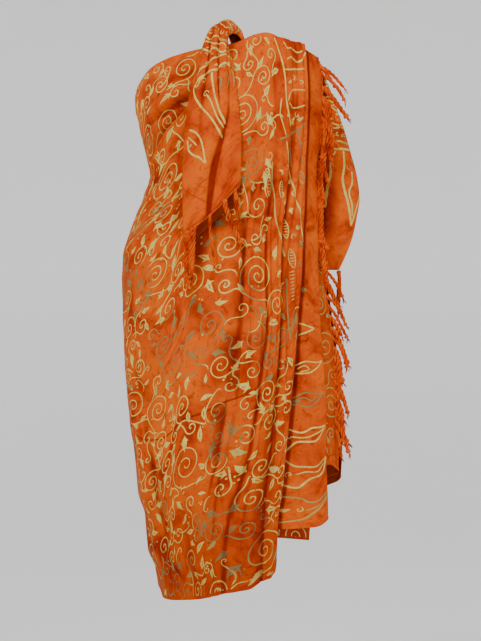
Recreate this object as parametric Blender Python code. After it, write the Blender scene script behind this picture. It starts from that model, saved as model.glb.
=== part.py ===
"""A batik sarong worn strapless: one long cloth with fringed ends, wound round the body.

Metres, +Z up. The front faces -Y and the wearer's left side is +X. The origin is in the middle of
the chest, where the wearer holds the cloth up. A place on the wound cloth is given by its turn, in
degrees from the middle of the front towards +X, by its height z, and by its lift off the outer turn.
"""

import math
import random

import bpy
import numpy as np

# Driving dimensions of the cloth
WALL = 0.0015
SEAM_GAP = 0.0003
UNDER_LIFT = -0.0066
TUCKED_LIFT = -0.0030
PANEL_LIFT = -0.0005
PLAN_POWER = 2.25
METRES_PER_TURN = 0.0026
COVERED_FADE = 0.02

# Detail of the solids
UNDER_COLUMNS, UNDER_ROWS = 48, 15
OUTER_PLAIN_COLUMNS, OUTER_ROWS = 46, 21
PANEL_COLUMNS, PANEL_ROWS = 9, 17

# Fringe: twisted strands on a narrow woven strip
STRIP_WIDTH = 0.004
STRAND_RADIUS = 0.0017
STRAND_RINGS = 6
STRAND_PITCH = 0.018

# Half sizes of the outer turn of cloth on a general figure: z, left, right, front, back
FORM = (
    (0.120, 0.146, 0.148, 0.084, 0.084),
    (0.060, 0.164, 0.161, 0.104, 0.096),
    (0.000, 0.174, 0.163, 0.128, 0.102),
    (-0.050, 0.168, 0.162, 0.131, 0.100),
    (-0.096, 0.157, 0.160, 0.126, 0.092),
    (-0.135, 0.149, 0.158, 0.120, 0.086),
    (-0.170, 0.154, 0.158, 0.118, 0.090),
    (-0.205, 0.169, 0.160, 0.119, 0.098),
    (-0.277, 0.191, 0.164, 0.122, 0.117),
    (-0.360, 0.189, 0.176, 0.122, 0.127),
    (-0.450, 0.186, 0.188, 0.119, 0.122),
    (-0.550, 0.177, 0.194, 0.113, 0.112),
    (-0.640, 0.165, 0.194, 0.107, 0.106),
    (-0.685, 0.161, 0.192, 0.104, 0.103),
    (-0.725, 0.149, 0.188, 0.101, 0.101),
    (-0.785, 0.143, 0.182, 0.098, 0.099),
    (-0.812, 0.132, 0.178, 0.096, 0.098),
    (-0.880, 0.122, 0.172, 0.094, 0.096),
)

# Top edge of the under wrap: turn, z
UNDER_TOP = (
    (-180, 0.020),
    (-120, -0.004),
    (-92, -0.002),
    (-74, 0.014),
    (-56, 0.047),
    (-41, 0.058),
    (-26, 0.067),
    (-12, 0.074),
    (2, 0.078),
    (12, 0.093),
    (19, 0.097),
    (29, 0.089),
    (45, 0.081),
    (66, 0.065),
    (90, 0.050),
    (130, 0.028),
    (180, 0.020),
)

# Hem of the under wrap: turn, z
UNDER_HEM = (
    (-180, -0.700),
    (-90, -0.730),
    (0, -0.705),
    (40, -0.680),
    (60, -0.632),
    (75, -0.643),
    (110, -0.662),
    (180, -0.700),
)

# Top edge of the outer wrap, slanting from the tail down to the left hip: turn, z
OUTER_TOP = (
    (-280, 0.052),
    (-215, 0.034),
    (-190, 0.010),
    (-165, -0.040),
    (-140, -0.105),
    (-110, -0.163),
    (-90, -0.177),
    (-71, -0.157),
    (-57, -0.118),
    (-48, -0.099),
    (-36, -0.070),
    (-28, -0.053),
    (-22, -0.038),
    (-17, -0.014),
    (-11, 0.030),
    (-5, 0.072),
    (2, 0.081),
    (12, 0.096),
    (19, 0.100),
    (29, 0.092),
    (50, 0.081),
)

# Hem of the outer wrap: turn, z
OUTER_HEM = (
    (-280, -0.655),
    (-220, -0.700),
    (-180, -0.760),
    (-130, -0.812),
    (-90, -0.840),
    (-75, -0.850),
    (-66, -0.862),
    (-45, -0.861),
    (-27, -0.858),
    (-7, -0.847),
    (8, -0.836),
    (13, -0.826),
    (17, -0.819),
    (20, -0.809),
    (21.5, -0.790),
)

# Lines down the bundle of folds, as turns: z, right edge, first valley, second valley, where it ends
BUNDLE = (
    (0.090, 48.5, 37.0, 27.0, 17.0),
    (-0.149, 48.5, 34.0, 22.6, 10.0),
    (-0.235, 44.8, 29.0, 18.0, 6.0),
    (-0.288, 42.5, 27.5, 17.2, 5.0),
    (-0.385, 34.8, 24.4, 16.3, 3.0),
    (-0.479, 29.8, 20.8, 12.0, 0.0),
    (-0.547, 27.0, 18.3, 9.3, -3.0),
    (-0.616, 24.7, 16.5, 6.0, -7.0),
    (-0.660, 23.4, 14.5, 2.5, -11.0),
    (-0.724, 21.4, 13.4, -1.5, -15.0),
    (-0.790, 21.4, 13.2, -4.0, -18.0),
    (-0.860, 21.4, 13.8, -5.0, -20.0),
)
BUNDLE_COLUMNS = (7, 6, 5)
BUNDLE_LEAN = 0.8
BUNDLE_HEIGHTS = (0.0090, 0.0070, 0.0040)
EDGE_LIFT = 0.0035
VALLEY_LIFT = 0.0008

# How much of a fold's height is there at these heights
FOLD_HEIGHTS = ((-0.50, 1.0), (0.0, 0.75))

# Where the outer wrap ends, where it sinks towards its end, and how far two pieces reach under
OUTER_END = -278.0
OUTER_END_LIFT = -0.0038
SINK_START, SINK_LENGTH = -200.0, 60.0
WRAP_TOP, WRAP_HEM = 0.08, -0.82
PANEL_TUCK = 2.5
RETURN_TUCK = 3.0

# Heights of the end panel's ends, and where its creases start beside the folds, in turns
PANEL_TOP, PANEL_HEM = 0.075, -0.735
PANEL_CREASE_START, PANEL_CREASE_GROWTH = 2.0, 4.0

# Right edge of the end panel: z, turn
PANEL_EDGE = (
    (0.080, 65.0),
    (0.000, 70.0),
    (-0.090, 67.5),
    (-0.220, 66.0),
    (-0.330, 59.0),
    (-0.397, 55.0),
    (-0.616, 54.6),
    (-0.690, 57.0),
    (-0.740, 61.0),
)

# Top edge and hem of the end panel: turn, top z, hem z
PANEL_ENDS = (
    (15, 0.090, -0.7375),
    (43, 0.079, -0.7375),
    (50, 0.075, -0.7360),
    (57, 0.070, -0.7296),
    (62, 0.066, -0.7230),
)

# Fringed edge of the turned end, which shows beside the lower panel: z, turn
RETURN_EDGE = (
    (-0.270, 66.0),
    (-0.300, 68.5),
    (-0.350, 70.5),
    (-0.403, 70.5),
    (-0.470, 67.6),
    (-0.522, 66.1),
    (-0.600, 66.1),
    (-0.640, 67.0),
)
RETURN_TOP = -0.275
RETURN_HEM = -0.617
RETURN_ROWS, RETURN_COLUMNS = 12, 5

# Corner of the under layer that hangs below the panel's hem
CORNER_TURNS = (19.5, 44.0)
CORNER_TOP = -0.640
CORNER_HEMS = (-0.751, -0.759)
CORNER_ROWS, CORNER_COLUMNS = 5, 7

# Creases: turn and z of both ends, spread above and below the line, height
UNDER_CREASES = (
    (-58, -0.050, -19, 0.002, 0.034, 0.006, 0.0045),
    (-64, -0.100, -24, -0.040, 0.030, 0.012, 0.0030),
    (-88, -0.030, -60, -0.010, 0.014, 0.010, 0.0020),
    (95, -0.020, 110, -0.420, 0.020, 0.020, 0.0015),
)
OUTER_CREASES = (
    (-80, -0.278, -27, -0.219, 0.016, 0.009, 0.0045),
    (2, -0.176, 24, -0.150, 0.008, 0.012, -0.0030),
    (6, 0.020, 13, 0.080, 0.007, 0.009, -0.0014),
    (-14, -0.130, -44, -0.500, 0.030, 0.030, 0.0028),
    (-30, -0.330, -8, -0.900, 0.022, 0.026, 0.0032),
    (-72, -0.400, -50, -0.900, 0.018, 0.024, 0.0050),
    (-58, -0.520, -36, -0.900, 0.014, 0.016, -0.0022),
    (-100, -0.240, -112, -0.900, 0.022, 0.030, 0.0050),
    (-128, -0.160, -122, -0.880, 0.018, 0.022, 0.0042),
    (-150, -0.200, -168, -0.860, 0.026, 0.020, 0.0046),
    (-188, -0.080, -178, -0.840, 0.020, 0.024, 0.0038),
    (-214, -0.120, -206, -0.800, 0.024, 0.018, 0.0044),
    (-240, -0.180, -234, -0.760, 0.018, 0.022, 0.0040),
    (-170, -0.120, -250, -0.040, 0.014, 0.010, 0.0034),
)
PANEL_CREASES = (
    (38, -0.361, 56, -0.399, 0.010, 0.010, 0.0022),
    (45, -0.234, 64, -0.226, 0.008, 0.008, -0.0016),
    (34, -0.480, 50, -0.760, 0.014, 0.014, 0.0020),
)

# The corner of cloth that comes up inside the top edge and turns over it: place of its ridge, the
# way the ridge faces, half the cloth's width and how far each half curls, in radians
LOOP = (
    (0.010, -0.0783, 0.050, 0.0, 1.0, 0.1, 0.024, 1.9),
    (0.012, -0.0678, 0.082, 0.1, 1.0, 0.2, 0.026, 2.2),
    (0.008, -0.068, 0.108, 0.3, 0.8, 0.7, 0.029, 2.4),
    (-0.003, -0.090, 0.119, 0.1, 0.1, 1.0, 0.031, 2.5),
    (-0.014, -0.114, 0.113, -0.1, -0.6, 0.8, 0.033, 2.4),
    (-0.022, -0.128, 0.094, 0.0, -1.0, 0.35, 0.036, 2.1),
    (-0.026, -0.134, 0.072, 0.0, -1.0, 0.1, 0.038, 1.7),
)
LOOP_STEPS = 2

# The tail below it: z, middle x, ridge y, half width of cloth, curl, place and depth of its valley
TAIL = (
    (0.055, -0.0265, -0.1385, 0.0385, 1.40, -0.35, 0.0030),
    (0.030, -0.0275, -0.1430, 0.0400, 1.15, -0.45, 0.0045),
    (0.000, -0.0290, -0.1486, 0.0445, 0.95, -0.50, 0.0060),
    (-0.040, -0.0300, -0.1510, 0.0485, 0.80, -0.48, 0.0075),
    (-0.085, -0.0310, -0.1495, 0.0510, 0.68, -0.31, 0.0085),
    (-0.149, -0.0330, -0.1430, 0.0515, 0.60, -0.03, 0.0085),
    (-0.210, -0.0330, -0.1420, 0.0500, 0.55, 0.10, 0.0080),
    (-0.245, -0.0330, -0.1420, 0.0480, 0.52, 0.14, 0.0070),
)
TAIL_TOP = 0.055
TAIL_ROWS = 10
TAIL_COLUMNS = 15
VALLEY_SPREAD = 0.16

# Lower edge of the tail: place across the cloth from right, -1, to left, 1, and z
TAIL_HEM = (
    (-1.0, -0.157),
    (-0.6, -0.176),
    (-0.2, -0.198),
    (0.2, -0.215),
    (0.6, -0.229),
    (1.0, -0.241),
)

# The tail's second layer, behind: x and lower z of its left and right ends
TAIL_BACK_X = (-0.060, 0.012)
TAIL_BACK_TOP = -0.128
TAIL_BACK_HEMS = (-0.250, -0.186)
TAIL_BACK_LIFT = 0.0048
TAIL_BACK_DETAIL = 8

# The corner that hangs at the left side: z, outermost x, half its breadth from front to back
SIDE_TAIL = (
    (0.046, 0.1600, 0.016),
    (0.020, 0.1720, 0.021),
    (-0.018, 0.1860, 0.028),
    (-0.053, 0.1980, 0.034),
    (-0.088, 0.2080, 0.040),
    (-0.131, 0.2190, 0.045),
    (-0.175, 0.2240, 0.047),
    (-0.208, 0.2190, 0.044),
    (-0.236, 0.2120, 0.036),
    (-0.268, 0.2010, 0.022),
    (-0.287, 0.1930, 0.011),
    (-0.297, 0.1880, 0.006),
)
SIDE_TAIL_Y = 0.012
SIDE_TAIL_SEAT = -0.0017
SIDE_TAIL_ROWS = 13
SIDE_TAIL_COLUMNS = 11
SIDE_TAIL_ROUNDNESS = 0.7

# Tassels below the front tail: place of each across the cloth, half width of its root
TAIL_STRANDS = (
    (-0.90, 0.035),
    (-0.60, 0.035),
    (-0.30, 0.035),
    (0.00, 0.035),
    (0.28, 0.035),
    (0.56, 0.045),
    (0.74, 0.045),
    (0.92, 0.045),
)
TAIL_STRAND_CLEAR = 0.055
TAIL_STRAND_LENGTHS = (0.034, 0.052, 0.078, 0.040, 0.082, 0.060, 0.074, 0.066)
SIDE_STRAND_LENGTHS = (0.085, 0.062, 0.050)

# Places of the side tail's strip from front to back, and its cells that grow a strand
SIDE_STRIP = (-0.0065, -0.0040, -0.0012, 0.0012, 0.0040, 0.0065)
SIDE_CELLS = (0, 2, 4)

# Fringe on the two upright ends: top, lowest strand, seed of its chance
UPPER_FRINGE = (0.060, -0.268, 3)
LOWER_FRINGE = (-0.285, -0.585, 5)

# Strands of each fringe: slant from the vertical along the edge: z, degrees
UPPER_SLANT = ((0.07, 62.0), (0.02, 48.0), (-0.03, 36.0), (-0.08, 20.0), (-0.30, 15.0))
LOWER_SLANT = ((-0.28, 32.0), (-0.36, 28.0), (-0.44, 17.0), (-0.58, 24.0))
UPPER_SPLAY, LOWER_SPLAY = math.radians(68), math.radians(30)
EDGE_STRAND_LENGTHS = (0.044, 0.056)
EDGE_STRAND_LEANS = (0.15, 0.55)
EDGE_STRAND_WOBBLE = 1.5
ROOT_HALF = 1.2 * STRAND_RADIUS

# Base colours of the sub-parts, linear
ORANGE = (0.72, 0.13, 0.012, 1.0)
DEEP_ORANGE = (0.52, 0.07, 0.010, 1.0)
ROUGHNESS = 0.8


def follow(rows, column=1):
    """A function that reads the column at any place, smooth through the rows without overshooting."""
    ordered = sorted(rows)
    places = np.array([row[0] for row in ordered], float)
    values = np.array([row[column] for row in ordered], float)
    steps = np.diff(places)
    slopes = np.diff(values) / steps
    tangents = np.concatenate([slopes[:1], np.zeros(len(slopes) - 1), slopes[-1:]])
    same_way = slopes[:-1] * slopes[1:] > 0
    pairs = slopes[:-1] + slopes[1:]
    means = 2 * slopes[:-1] * slopes[1:] / np.where(same_way, pairs, 1)
    tangents[1:-1] = np.where(same_way, means, 0)

    def read(at):
        held = np.clip(np.asarray(at, float), places[0], places[-1])
        k = np.clip(np.searchsorted(places, held, side="right") - 1, 0, len(steps) - 1)
        t = (held - places[k]) / steps[k]
        start = (1 + 2 * t) * (1 - t) ** 2 * values[k] + t * (1 - t) ** 2 * steps[k] * tangents[k]
        end = t * t * (3 - 2 * t) * values[k + 1] + t * t * (t - 1) * steps[k] * tangents[k + 1]
        return start + end

    return read


FORM_LEFT, FORM_RIGHT, FORM_FRONT, FORM_BACK = (follow(FORM, column) for column in (1, 2, 3, 4))


def wound(turn, z, lift):
    """Points of the wound cloth."""
    angle = np.radians(turn)
    side, ahead = np.sin(angle), np.cos(angle)
    across = np.where(side > 0, FORM_RIGHT(z), FORM_LEFT(z)) + lift
    deep = np.where(ahead > 0, FORM_FRONT(z), FORM_BACK(z)) + lift
    x = across * np.sign(side) * np.abs(side) ** (2 / PLAN_POWER)
    y = -deep * np.sign(ahead) * np.abs(ahead) ** (2 / PLAN_POWER)
    return np.stack([x, y, z + 0 * x], axis=-1)


def crease_lift(turn, z, creases):
    """How far the creases raise the cloth, each one along a straight line that fades at its ends."""
    lift = np.zeros(np.broadcast(turn, z).shape)
    for turn_a, z_a, turn_b, z_b, above, below, height in creases:
        line = np.array([(turn_b - turn_a) * METRES_PER_TURN, z_b - z_a])
        length = math.hypot(*line)
        line = line / length
        right = (turn - turn_a) * METRES_PER_TURN
        up = z - z_a
        along = (right * line[0] + up * line[1]) / length
        side = (up * line[0] - right * line[1]) * (1 if line[0] >= 0 else -1)
        spread = np.where(side > 0, above, below)
        fade = np.clip(along * (1 - along) * 6, 0, 1)
        lift = lift + height * fade * np.exp(-((side / spread) ** 2))
    return lift


def unit(vectors):
    return vectors / np.linalg.norm(vectors, axis=-1, keepdims=True)


def sheet_normals(grid, ring):
    """Unit normals of a grid of rows down the cloth and columns across it."""
    if ring:
        across = np.roll(grid, -1, axis=1) - np.roll(grid, 1, axis=1)
    else:
        across = np.gradient(grid, axis=1)
    return unit(np.cross(np.gradient(grid, axis=0), across))


def cloth_material(name, colour):
    material = bpy.data.materials.new(name)
    material.use_nodes = True
    shader = material.node_tree.nodes["Principled BSDF"]
    shader.inputs["Base Color"].default_value = colour
    shader.inputs["Roughness"].default_value = ROUGHNESS
    shader.inputs["Metallic"].default_value = 0.0
    return material


def signed_volume(points, faces):
    """Six times the volume inside the faces, negative where they face inwards."""
    total = 0.0
    for face in faces:
        for second, third in zip(face[1:-1], face[2:]):
            total += np.dot(points[face[0]], np.cross(points[second], points[third]))
    return total


def add_solid(name, points, faces, colour):
    """One named object from points and faces, turned so that its faces point out."""
    points = np.asarray(points, float)
    if signed_volume(points, faces) < 0:
        faces = [tuple(reversed(face)) for face in faces]
    mesh = bpy.data.meshes.new(name)
    mesh.from_pydata([tuple(point) for point in points], [], faces)
    mesh.shade_smooth()
    mesh.materials.append(cloth_material(name + "_cloth", colour))
    thing = bpy.data.objects.new(name, mesh)
    bpy.context.scene.collection.objects.link(thing)
    return thing


def add_cloth(name, grid, colour, ring=False):
    """A closed wall of cloth, half its thickness to each side of the grid."""
    rows, columns = grid.shape[:2]
    half = sheet_normals(grid, ring) * (WALL / 2)
    points = np.concatenate([(grid + half).reshape(-1, 3), (grid - half).reshape(-1, 3)])
    back = rows * columns

    def at(row, column, side):
        return side * back + row * columns + column % columns

    faces = []
    last = columns if ring else columns - 1
    for row in range(rows - 1):
        for column in range(last):
            corners = [(row, column), (row, column + 1), (row + 1, column + 1), (row + 1, column)]
            faces.append(tuple(at(r, c, 0) for r, c in corners))
            faces.append(tuple(at(r, c, 1) for r, c in reversed(corners)))
    for column in range(last):
        faces.append((at(0, column, 1), at(0, column + 1, 1), at(0, column + 1, 0), at(0, column, 0)))
        low = rows - 1
        faces.append((at(low, column, 0), at(low, column + 1, 0), at(low, column + 1, 1), at(low, column, 1)))
    if not ring:
        for row in range(rows - 1):
            faces.append((at(row, 0, 0), at(row + 1, 0, 0), at(row + 1, 0, 1), at(row, 0, 1)))
            end = columns - 1
            faces.append((at(row, end, 1), at(row + 1, end, 1), at(row + 1, end, 0), at(row, end, 0)))
    return add_solid(name, points, faces, colour)


def covered_fade(turn, z):
    """1 where the under wrap shows above the outer wrap, falling to 0 at the edge that covers it."""
    outer_edge = follow(OUTER_TOP)(np.where(turn > OUTER_TOP[-1][0], turn - 360, turn))
    return np.clip((z - outer_edge) / COVERED_FADE, 0, 1)


def under_wrap():
    """The inner turn of cloth, closed round the body."""
    turn = np.arange(-180, 180, 360 / UNDER_COLUMNS)[None, :]
    down = np.linspace(0, 1, UNDER_ROWS)[:, None]
    top = follow(UNDER_TOP)(turn)
    z = top + (follow(UNDER_HEM)(turn) - top) * down
    lift = UNDER_LIFT + crease_lift(turn, z, UNDER_CREASES) * covered_fade(turn, z)
    return add_cloth("under_wrap", wound(turn, z, lift), ORANGE, ring=True)


def outer_turns(z):
    """Turn of every column of the outer wrap where it lies at height z: the folds, then the rest."""
    lines = [follow(BUNDLE, column) for column in (1, 2, 3, 4)]
    turns = []
    for k, count in enumerate(BUNDLE_COLUMNS):
        for step in range(count):
            here = z[:, min(len(turns), z.shape[1] - 1)]
            share = step / count
            turns.append(lines[k](here) * (1 - share) + lines[k + 1](here) * share)
    for share in np.linspace(0, 1, OUTER_PLAIN_COLUMNS):
        here = z[:, min(len(turns), z.shape[1] - 1)]
        turns.append(lines[3](here) * (1 - share) + OUTER_END * share)
    return np.stack(turns, axis=1)


def bundle_lift():
    """Lift of each column in the bundle of folds, with sharp valleys and a turned right edge."""
    lifts = []
    floors = (EDGE_LIFT, VALLEY_LIFT, VALLEY_LIFT, 0.0)
    for k, count in enumerate(BUNDLE_COLUMNS):
        for step in range(count):
            share = step / count
            floor = floors[k] * (1 - share) + floors[k + 1] * share
            lifts.append(floor + BUNDLE_HEIGHTS[k] * math.sin(math.pi * share ** BUNDLE_LEAN))
    return np.array(lifts)


def outer_wrap():
    """The outer turn: from the bundle of folds across the front, round the back to the other side."""
    down = np.linspace(0, 1, OUTER_ROWS)[:, None]
    top = follow(OUTER_TOP)(outer_turns(np.full((1, 1), WRAP_TOP)))
    hem = follow(OUTER_HEM)(outer_turns(np.full((1, 1), WRAP_HEM)))
    z = top + (hem - top) * down
    turn = outer_turns(z)
    lift = crease_lift(turn, z, OUTER_CREASES)
    folds = bundle_lift()
    lift[:, : len(folds)] += folds * follow(FOLD_HEIGHTS)(z[:, : len(folds)])
    lift += OUTER_END_LIFT * np.clip((SINK_START - turn) / SINK_LENGTH, 0, 1)
    return add_cloth("outer_wrap", wound(turn, z, lift), ORANGE)


def end_panel():
    """The bordered end of the cloth, from under the bundle of folds to its turned edge."""
    down = np.linspace(0, 1, PANEL_ROWS)[:, None]
    share = np.linspace(0, 1, PANEL_COLUMNS)[None, :]
    left, right = follow(BUNDLE), follow(PANEL_EDGE)

    def across(z):
        return (left(z) - PANEL_TUCK) * (1 - share) + right(z) * share

    top = follow(PANEL_ENDS, 1)(across(PANEL_TOP))
    z = top + (follow(PANEL_ENDS, 2)(across(PANEL_HEM)) - top) * down
    turn = across(z)
    clear = np.clip((turn - left(z) - PANEL_CREASE_START) / PANEL_CREASE_GROWTH, 0, 1)
    grid = wound(turn, z, PANEL_LIFT + crease_lift(turn, z, PANEL_CREASES) * clear)
    add_cloth("end_panel", grid, ORANGE)
    return grid


def end_return():
    """The last strip of the end, turned back round the side behind the panel's edge."""
    z = np.linspace(RETURN_TOP, RETURN_HEM, RETURN_ROWS)[:, None]
    share = np.linspace(0, 1, RETURN_COLUMNS)[None, :]
    turn = (follow(PANEL_EDGE)(z) - RETURN_TUCK) * (1 - share) + follow(RETURN_EDGE)(z) * share
    grid = wound(turn, z, TUCKED_LIFT)
    add_cloth("end_return", grid, DEEP_ORANGE)
    return grid


def under_corner():
    """A corner of the inner turn that hangs below the panel's hem."""
    share = np.linspace(0, 1, CORNER_COLUMNS)[None, :]
    turn = CORNER_TURNS[0] * (1 - share) + CORNER_TURNS[1] * share
    hem = CORNER_HEMS[0] * (1 - share) + CORNER_HEMS[1] * share
    z = CORNER_TOP + (hem - CORNER_TOP) * np.linspace(0, 1, CORNER_ROWS)[:, None]
    return add_cloth("under_corner", wound(turn + 0 * z, z, TUCKED_LIFT), DEEP_ORANGE)


def curled_row(ridge, facing, across, half_width, curl, places):
    """One row of gathered cloth: an arc that curls away behind its ridge."""
    radius = half_width / curl
    angle = places * curl
    side = (radius * np.sin(angle))[:, None] * across
    return ridge + side - (radius * (1 - np.cos(angle)))[:, None] * facing


def loop_rows(places):
    """Rows of the cloth from inside the top edge, up and over it."""
    count = (len(LOOP) - 1) * LOOP_STEPS + 1
    steps = np.linspace(0, len(LOOP) - 1, count)
    numbered = [(k, *row) for k, row in enumerate(LOOP)]
    values = np.stack([follow(numbered, column)(steps) for column in range(1, 9)], axis=1)
    ridges, facings = values[:, :3], unit(values[:, 3:6])
    onward = unit(np.gradient(ridges, axis=0))
    across = unit(np.cross(onward, facings))
    return [
        curled_row(ridges[k], facings[k], across[k], values[k, 6], values[k, 7], places)
        for k in range(count)
    ]


def tail_rows(places):
    """Rows of the tail down to its slanting lower edge, with one deep valley."""
    middle, ridge, half_width, curl, valley, depth = (follow(TAIL, k) for k in range(1, 7))
    hem = follow(TAIL_HEM)(places)
    rows = []
    for share in np.linspace(0, 1, TAIL_ROWS):
        z = TAIL_TOP + (hem - TAIL_TOP) * share
        radius = half_width(z) / curl(z)
        angle = places * curl(z)
        fold = depth(z) * np.exp(-(((places - valley(z)) / VALLEY_SPREAD) ** 2))
        x = middle(z) - radius * np.sin(angle)
        y = ridge(z) + radius * (1 - np.cos(angle)) + fold
        rows.append(np.stack([x, y, z], axis=1))
    return rows


def tail_front():
    """The corner of cloth turned over the top edge, hanging down the front."""
    places = np.linspace(-1, 1, TAIL_COLUMNS)
    grid = np.stack(loop_rows(places) + tail_rows(places))
    add_cloth("tail_front", grid, ORANGE)
    return grid


def front_surface(x, z, lift):
    """Points of the front at sideways place x."""
    half = np.where(x > 0, FORM_RIGHT(z), FORM_LEFT(z)) + lift
    side = (np.abs(x) / half) ** (PLAN_POWER / 2)
    turn = np.degrees(np.arcsin(side)) * np.sign(x)
    return wound(turn, z, lift)


def tail_back():
    """The second layer of the tail, which shows below its slanting edge."""
    steps = np.linspace(0, 1, TAIL_BACK_DETAIL)
    share = steps[None, :]
    hem = TAIL_BACK_HEMS[0] * (1 - share) + TAIL_BACK_HEMS[1] * share
    z = TAIL_BACK_TOP + (hem - TAIL_BACK_TOP) * steps[:, None]
    x = TAIL_BACK_X[0] * (1 - share) + TAIL_BACK_X[1] * share + 0 * z
    return add_cloth("tail_back", front_surface(x, z, TAIL_BACK_LIFT), DEEP_ORANGE)


def side_tail_grid():
    z = np.linspace(SIDE_TAIL[0][0], SIDE_TAIL[-1][0], SIDE_TAIL_ROWS)[:, None]
    place = np.linspace(-1, 1, SIDE_TAIL_COLUMNS)[None, :]
    outermost, breadth = (follow(SIDE_TAIL, column)(z) for column in (1, 2))
    seat = FORM_RIGHT(z) + SIDE_TAIL_SEAT
    x = seat + (outermost - seat) * np.cos(place * math.pi / 2) ** SIDE_TAIL_ROUNDNESS
    y = SIDE_TAIL_Y + breadth * place
    return np.stack([x, y, z + 0 * x], axis=-1)


def side_tail():
    """The other corner of the cloth, which hangs down the left side like a leaf."""
    return add_cloth("tail_side", side_tail_grid(), ORANGE)


def strand_path(start, way, along, facing, slant, length, lean):
    """Points of one strand, which leaves its strip and soon hangs along its own slant."""
    points = [start]
    for ring in range(1, STRAND_RINGS + 1):
        turned = 1 - (1 - ring / STRAND_RINGS) ** 3
        angle = math.radians(90 - slant) * turned
        step = way * math.cos(angle) + along * math.sin(angle) + facing * lean * (1 - turned)
        points.append(points[-1] + unit(step) * (length / STRAND_RINGS))
    return np.array(points)


def add_fringe(name, root, way, facing, strands):
    """A narrow strip along the root line, with strands growing from the cells that the dict names.

    The strip reaches STRIP_WIDTH along way. strands gives slant, length, lean and splay by cell number.
    """
    half = facing * (WALL / 2)
    outer = root + way * STRIP_WIDTH
    corners = np.stack([root - half, root + half, outer + half, outer - half], axis=1)
    points = [corner for section in corners for corner in section]
    faces = [(3, 2, 1, 0)]
    last = len(root) - 1
    for cell in range(last):
        low, high = cell * 4, cell * 4 + 4
        for side in (0, 1, 3):
            after = (side + 1) % 4
            faces.append((low + side, low + after, high + after, high + side))
        ends = [low + 2, low + 3, high + 3, high + 2]
        if cell in strands:
            ends = grow_strand(points, faces, ends, way[cell], facing[cell], *strands[cell])
        faces.append(tuple(ends))
    faces.append(tuple(last * 4 + side for side in range(4)))
    return add_solid(name, points, faces, DEEP_ORANGE)


def grow_strand(points, faces, ends, way, facing, slant, length, lean, splay):
    """Adds one strand's rings to the mesh, and returns the corners of its tip.

    splay is the angle by which the strand stands off the cloth, in radians.
    """
    corners = np.array([points[end] for end in ends])
    along = unit(corners[3] - corners[0])
    outward = way * math.cos(splay) + facing * math.sin(splay)
    facing = facing * math.cos(splay) - way * math.sin(splay)
    handed = 1 if np.dot(np.cross(facing, outward), along) > 0 else -1
    path = strand_path(corners.mean(axis=0), outward, along, facing, slant, length, lean)
    ways = unit(np.gradient(path, axis=0))
    for ring in range(1, len(path)):
        wide = unit(np.cross(facing, ways[ring])) * handed
        thick = unit(np.cross(ways[ring], wide)) * handed
        radius = STRAND_RADIUS * (1 - 0.3 * ring / STRAND_RINGS)
        first = len(points)
        for up, out in ((-1, 1), (-1, -1), (1, -1), (1, 1)):
            points.append(path[ring] + (wide * up + thick * out) * radius)
        fresh = [first, first + 1, first + 2, first + 3]
        for k in range(4):
            after = (k + 1) % 4
            faces.append((ends[k], ends[after], fresh[after], fresh[k]))
        ends = fresh
    return ends


def along_line(values, heights, at):
    """Values read at the heights, straight between the rows of a grid's edge."""
    columns = [np.interp(-at, -heights, values[:, axis]) for axis in range(3)]
    return np.stack(columns, axis=1)


def edge_fringe(name, grid, extent, slants, splay):
    """Fringe down the upright right edge of a grid, every strand a little different."""
    z_top, z_low, seed = extent
    chance = random.Random(seed)
    count = round((z_top - z_low) / STRAND_PITCH)
    pitch = (z_top - z_low) / count
    heights = [z_top]
    for k in range(count):
        middle = z_top - (k + 0.5) * pitch
        heights += [middle + ROOT_HALF, middle - ROOT_HALF]
    heights = np.array(heights + [z_low])
    levels = grid[:, -1, 2]
    root = along_line(grid[:, -1], levels, heights)
    way = unit(along_line(unit(grid[:, -1] - grid[:, -2]), levels, heights))
    facing = along_line(sheet_normals(grid, False)[:, -1], levels, heights)
    facing = facing * np.sign(facing[:, :1] * root[:, :1])
    facing = unit(facing - way * (facing * way).sum(axis=1)[:, None])
    strands = {}
    for k in range(count):
        cell = 2 * k + 1
        wobble = chance.uniform(-EDGE_STRAND_WOBBLE, EDGE_STRAND_WOBBLE)
        slant = float(follow(slants)(heights[cell])) + wobble
        lean = EDGE_STRAND_LEANS[k % 2]
        strands[cell] = (slant, chance.uniform(*EDGE_STRAND_LENGTHS), lean, splay)
    return add_fringe(name, root + way * (SEAM_GAP * 2), way, facing, strands)


def hem_fringe(name, line, facing, cells, lengths):
    """Fringe below a hanging hem: cells of the strip between the points of the line."""
    way = np.tile(np.array([0.0, 0.0, -1.0]), (len(line), 1))
    facing = unit(facing - way * (facing * way).sum(axis=1)[:, None])
    strands = {cell: (90.0, length, 0.0, 0.0) for cell, length in zip(cells, lengths)}
    return add_fringe(name, line + way * (SEAM_GAP * 2), way, facing, strands)


def tail_fringe(grid):
    """Tassels below the slanting edge of the front tail."""
    hem, normals = grid[-1], sheet_normals(grid, False)[-1]
    columns = np.linspace(-1, 1, len(hem))
    roots = [(place - width, place + width) for place, width in TAIL_STRANDS]
    apart = [min(abs(column - place) for place, width in TAIL_STRANDS) for column in columns]
    between = [column for column, gap in zip(columns, apart) if gap > TAIL_STRAND_CLEAR]
    places = np.array(sorted(between + [end for root in roots for end in root]))
    line, facing = (
        np.stack([np.interp(places, columns, values[:, axis]) for axis in range(3)], axis=1)
        for values in (hem, normals)
    )
    cells = [int(np.argmin(np.abs(places - low))) for low, high in roots]
    return hem_fringe("fringe_tail_front", line, facing, cells, TAIL_STRAND_LENGTHS)


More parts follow.
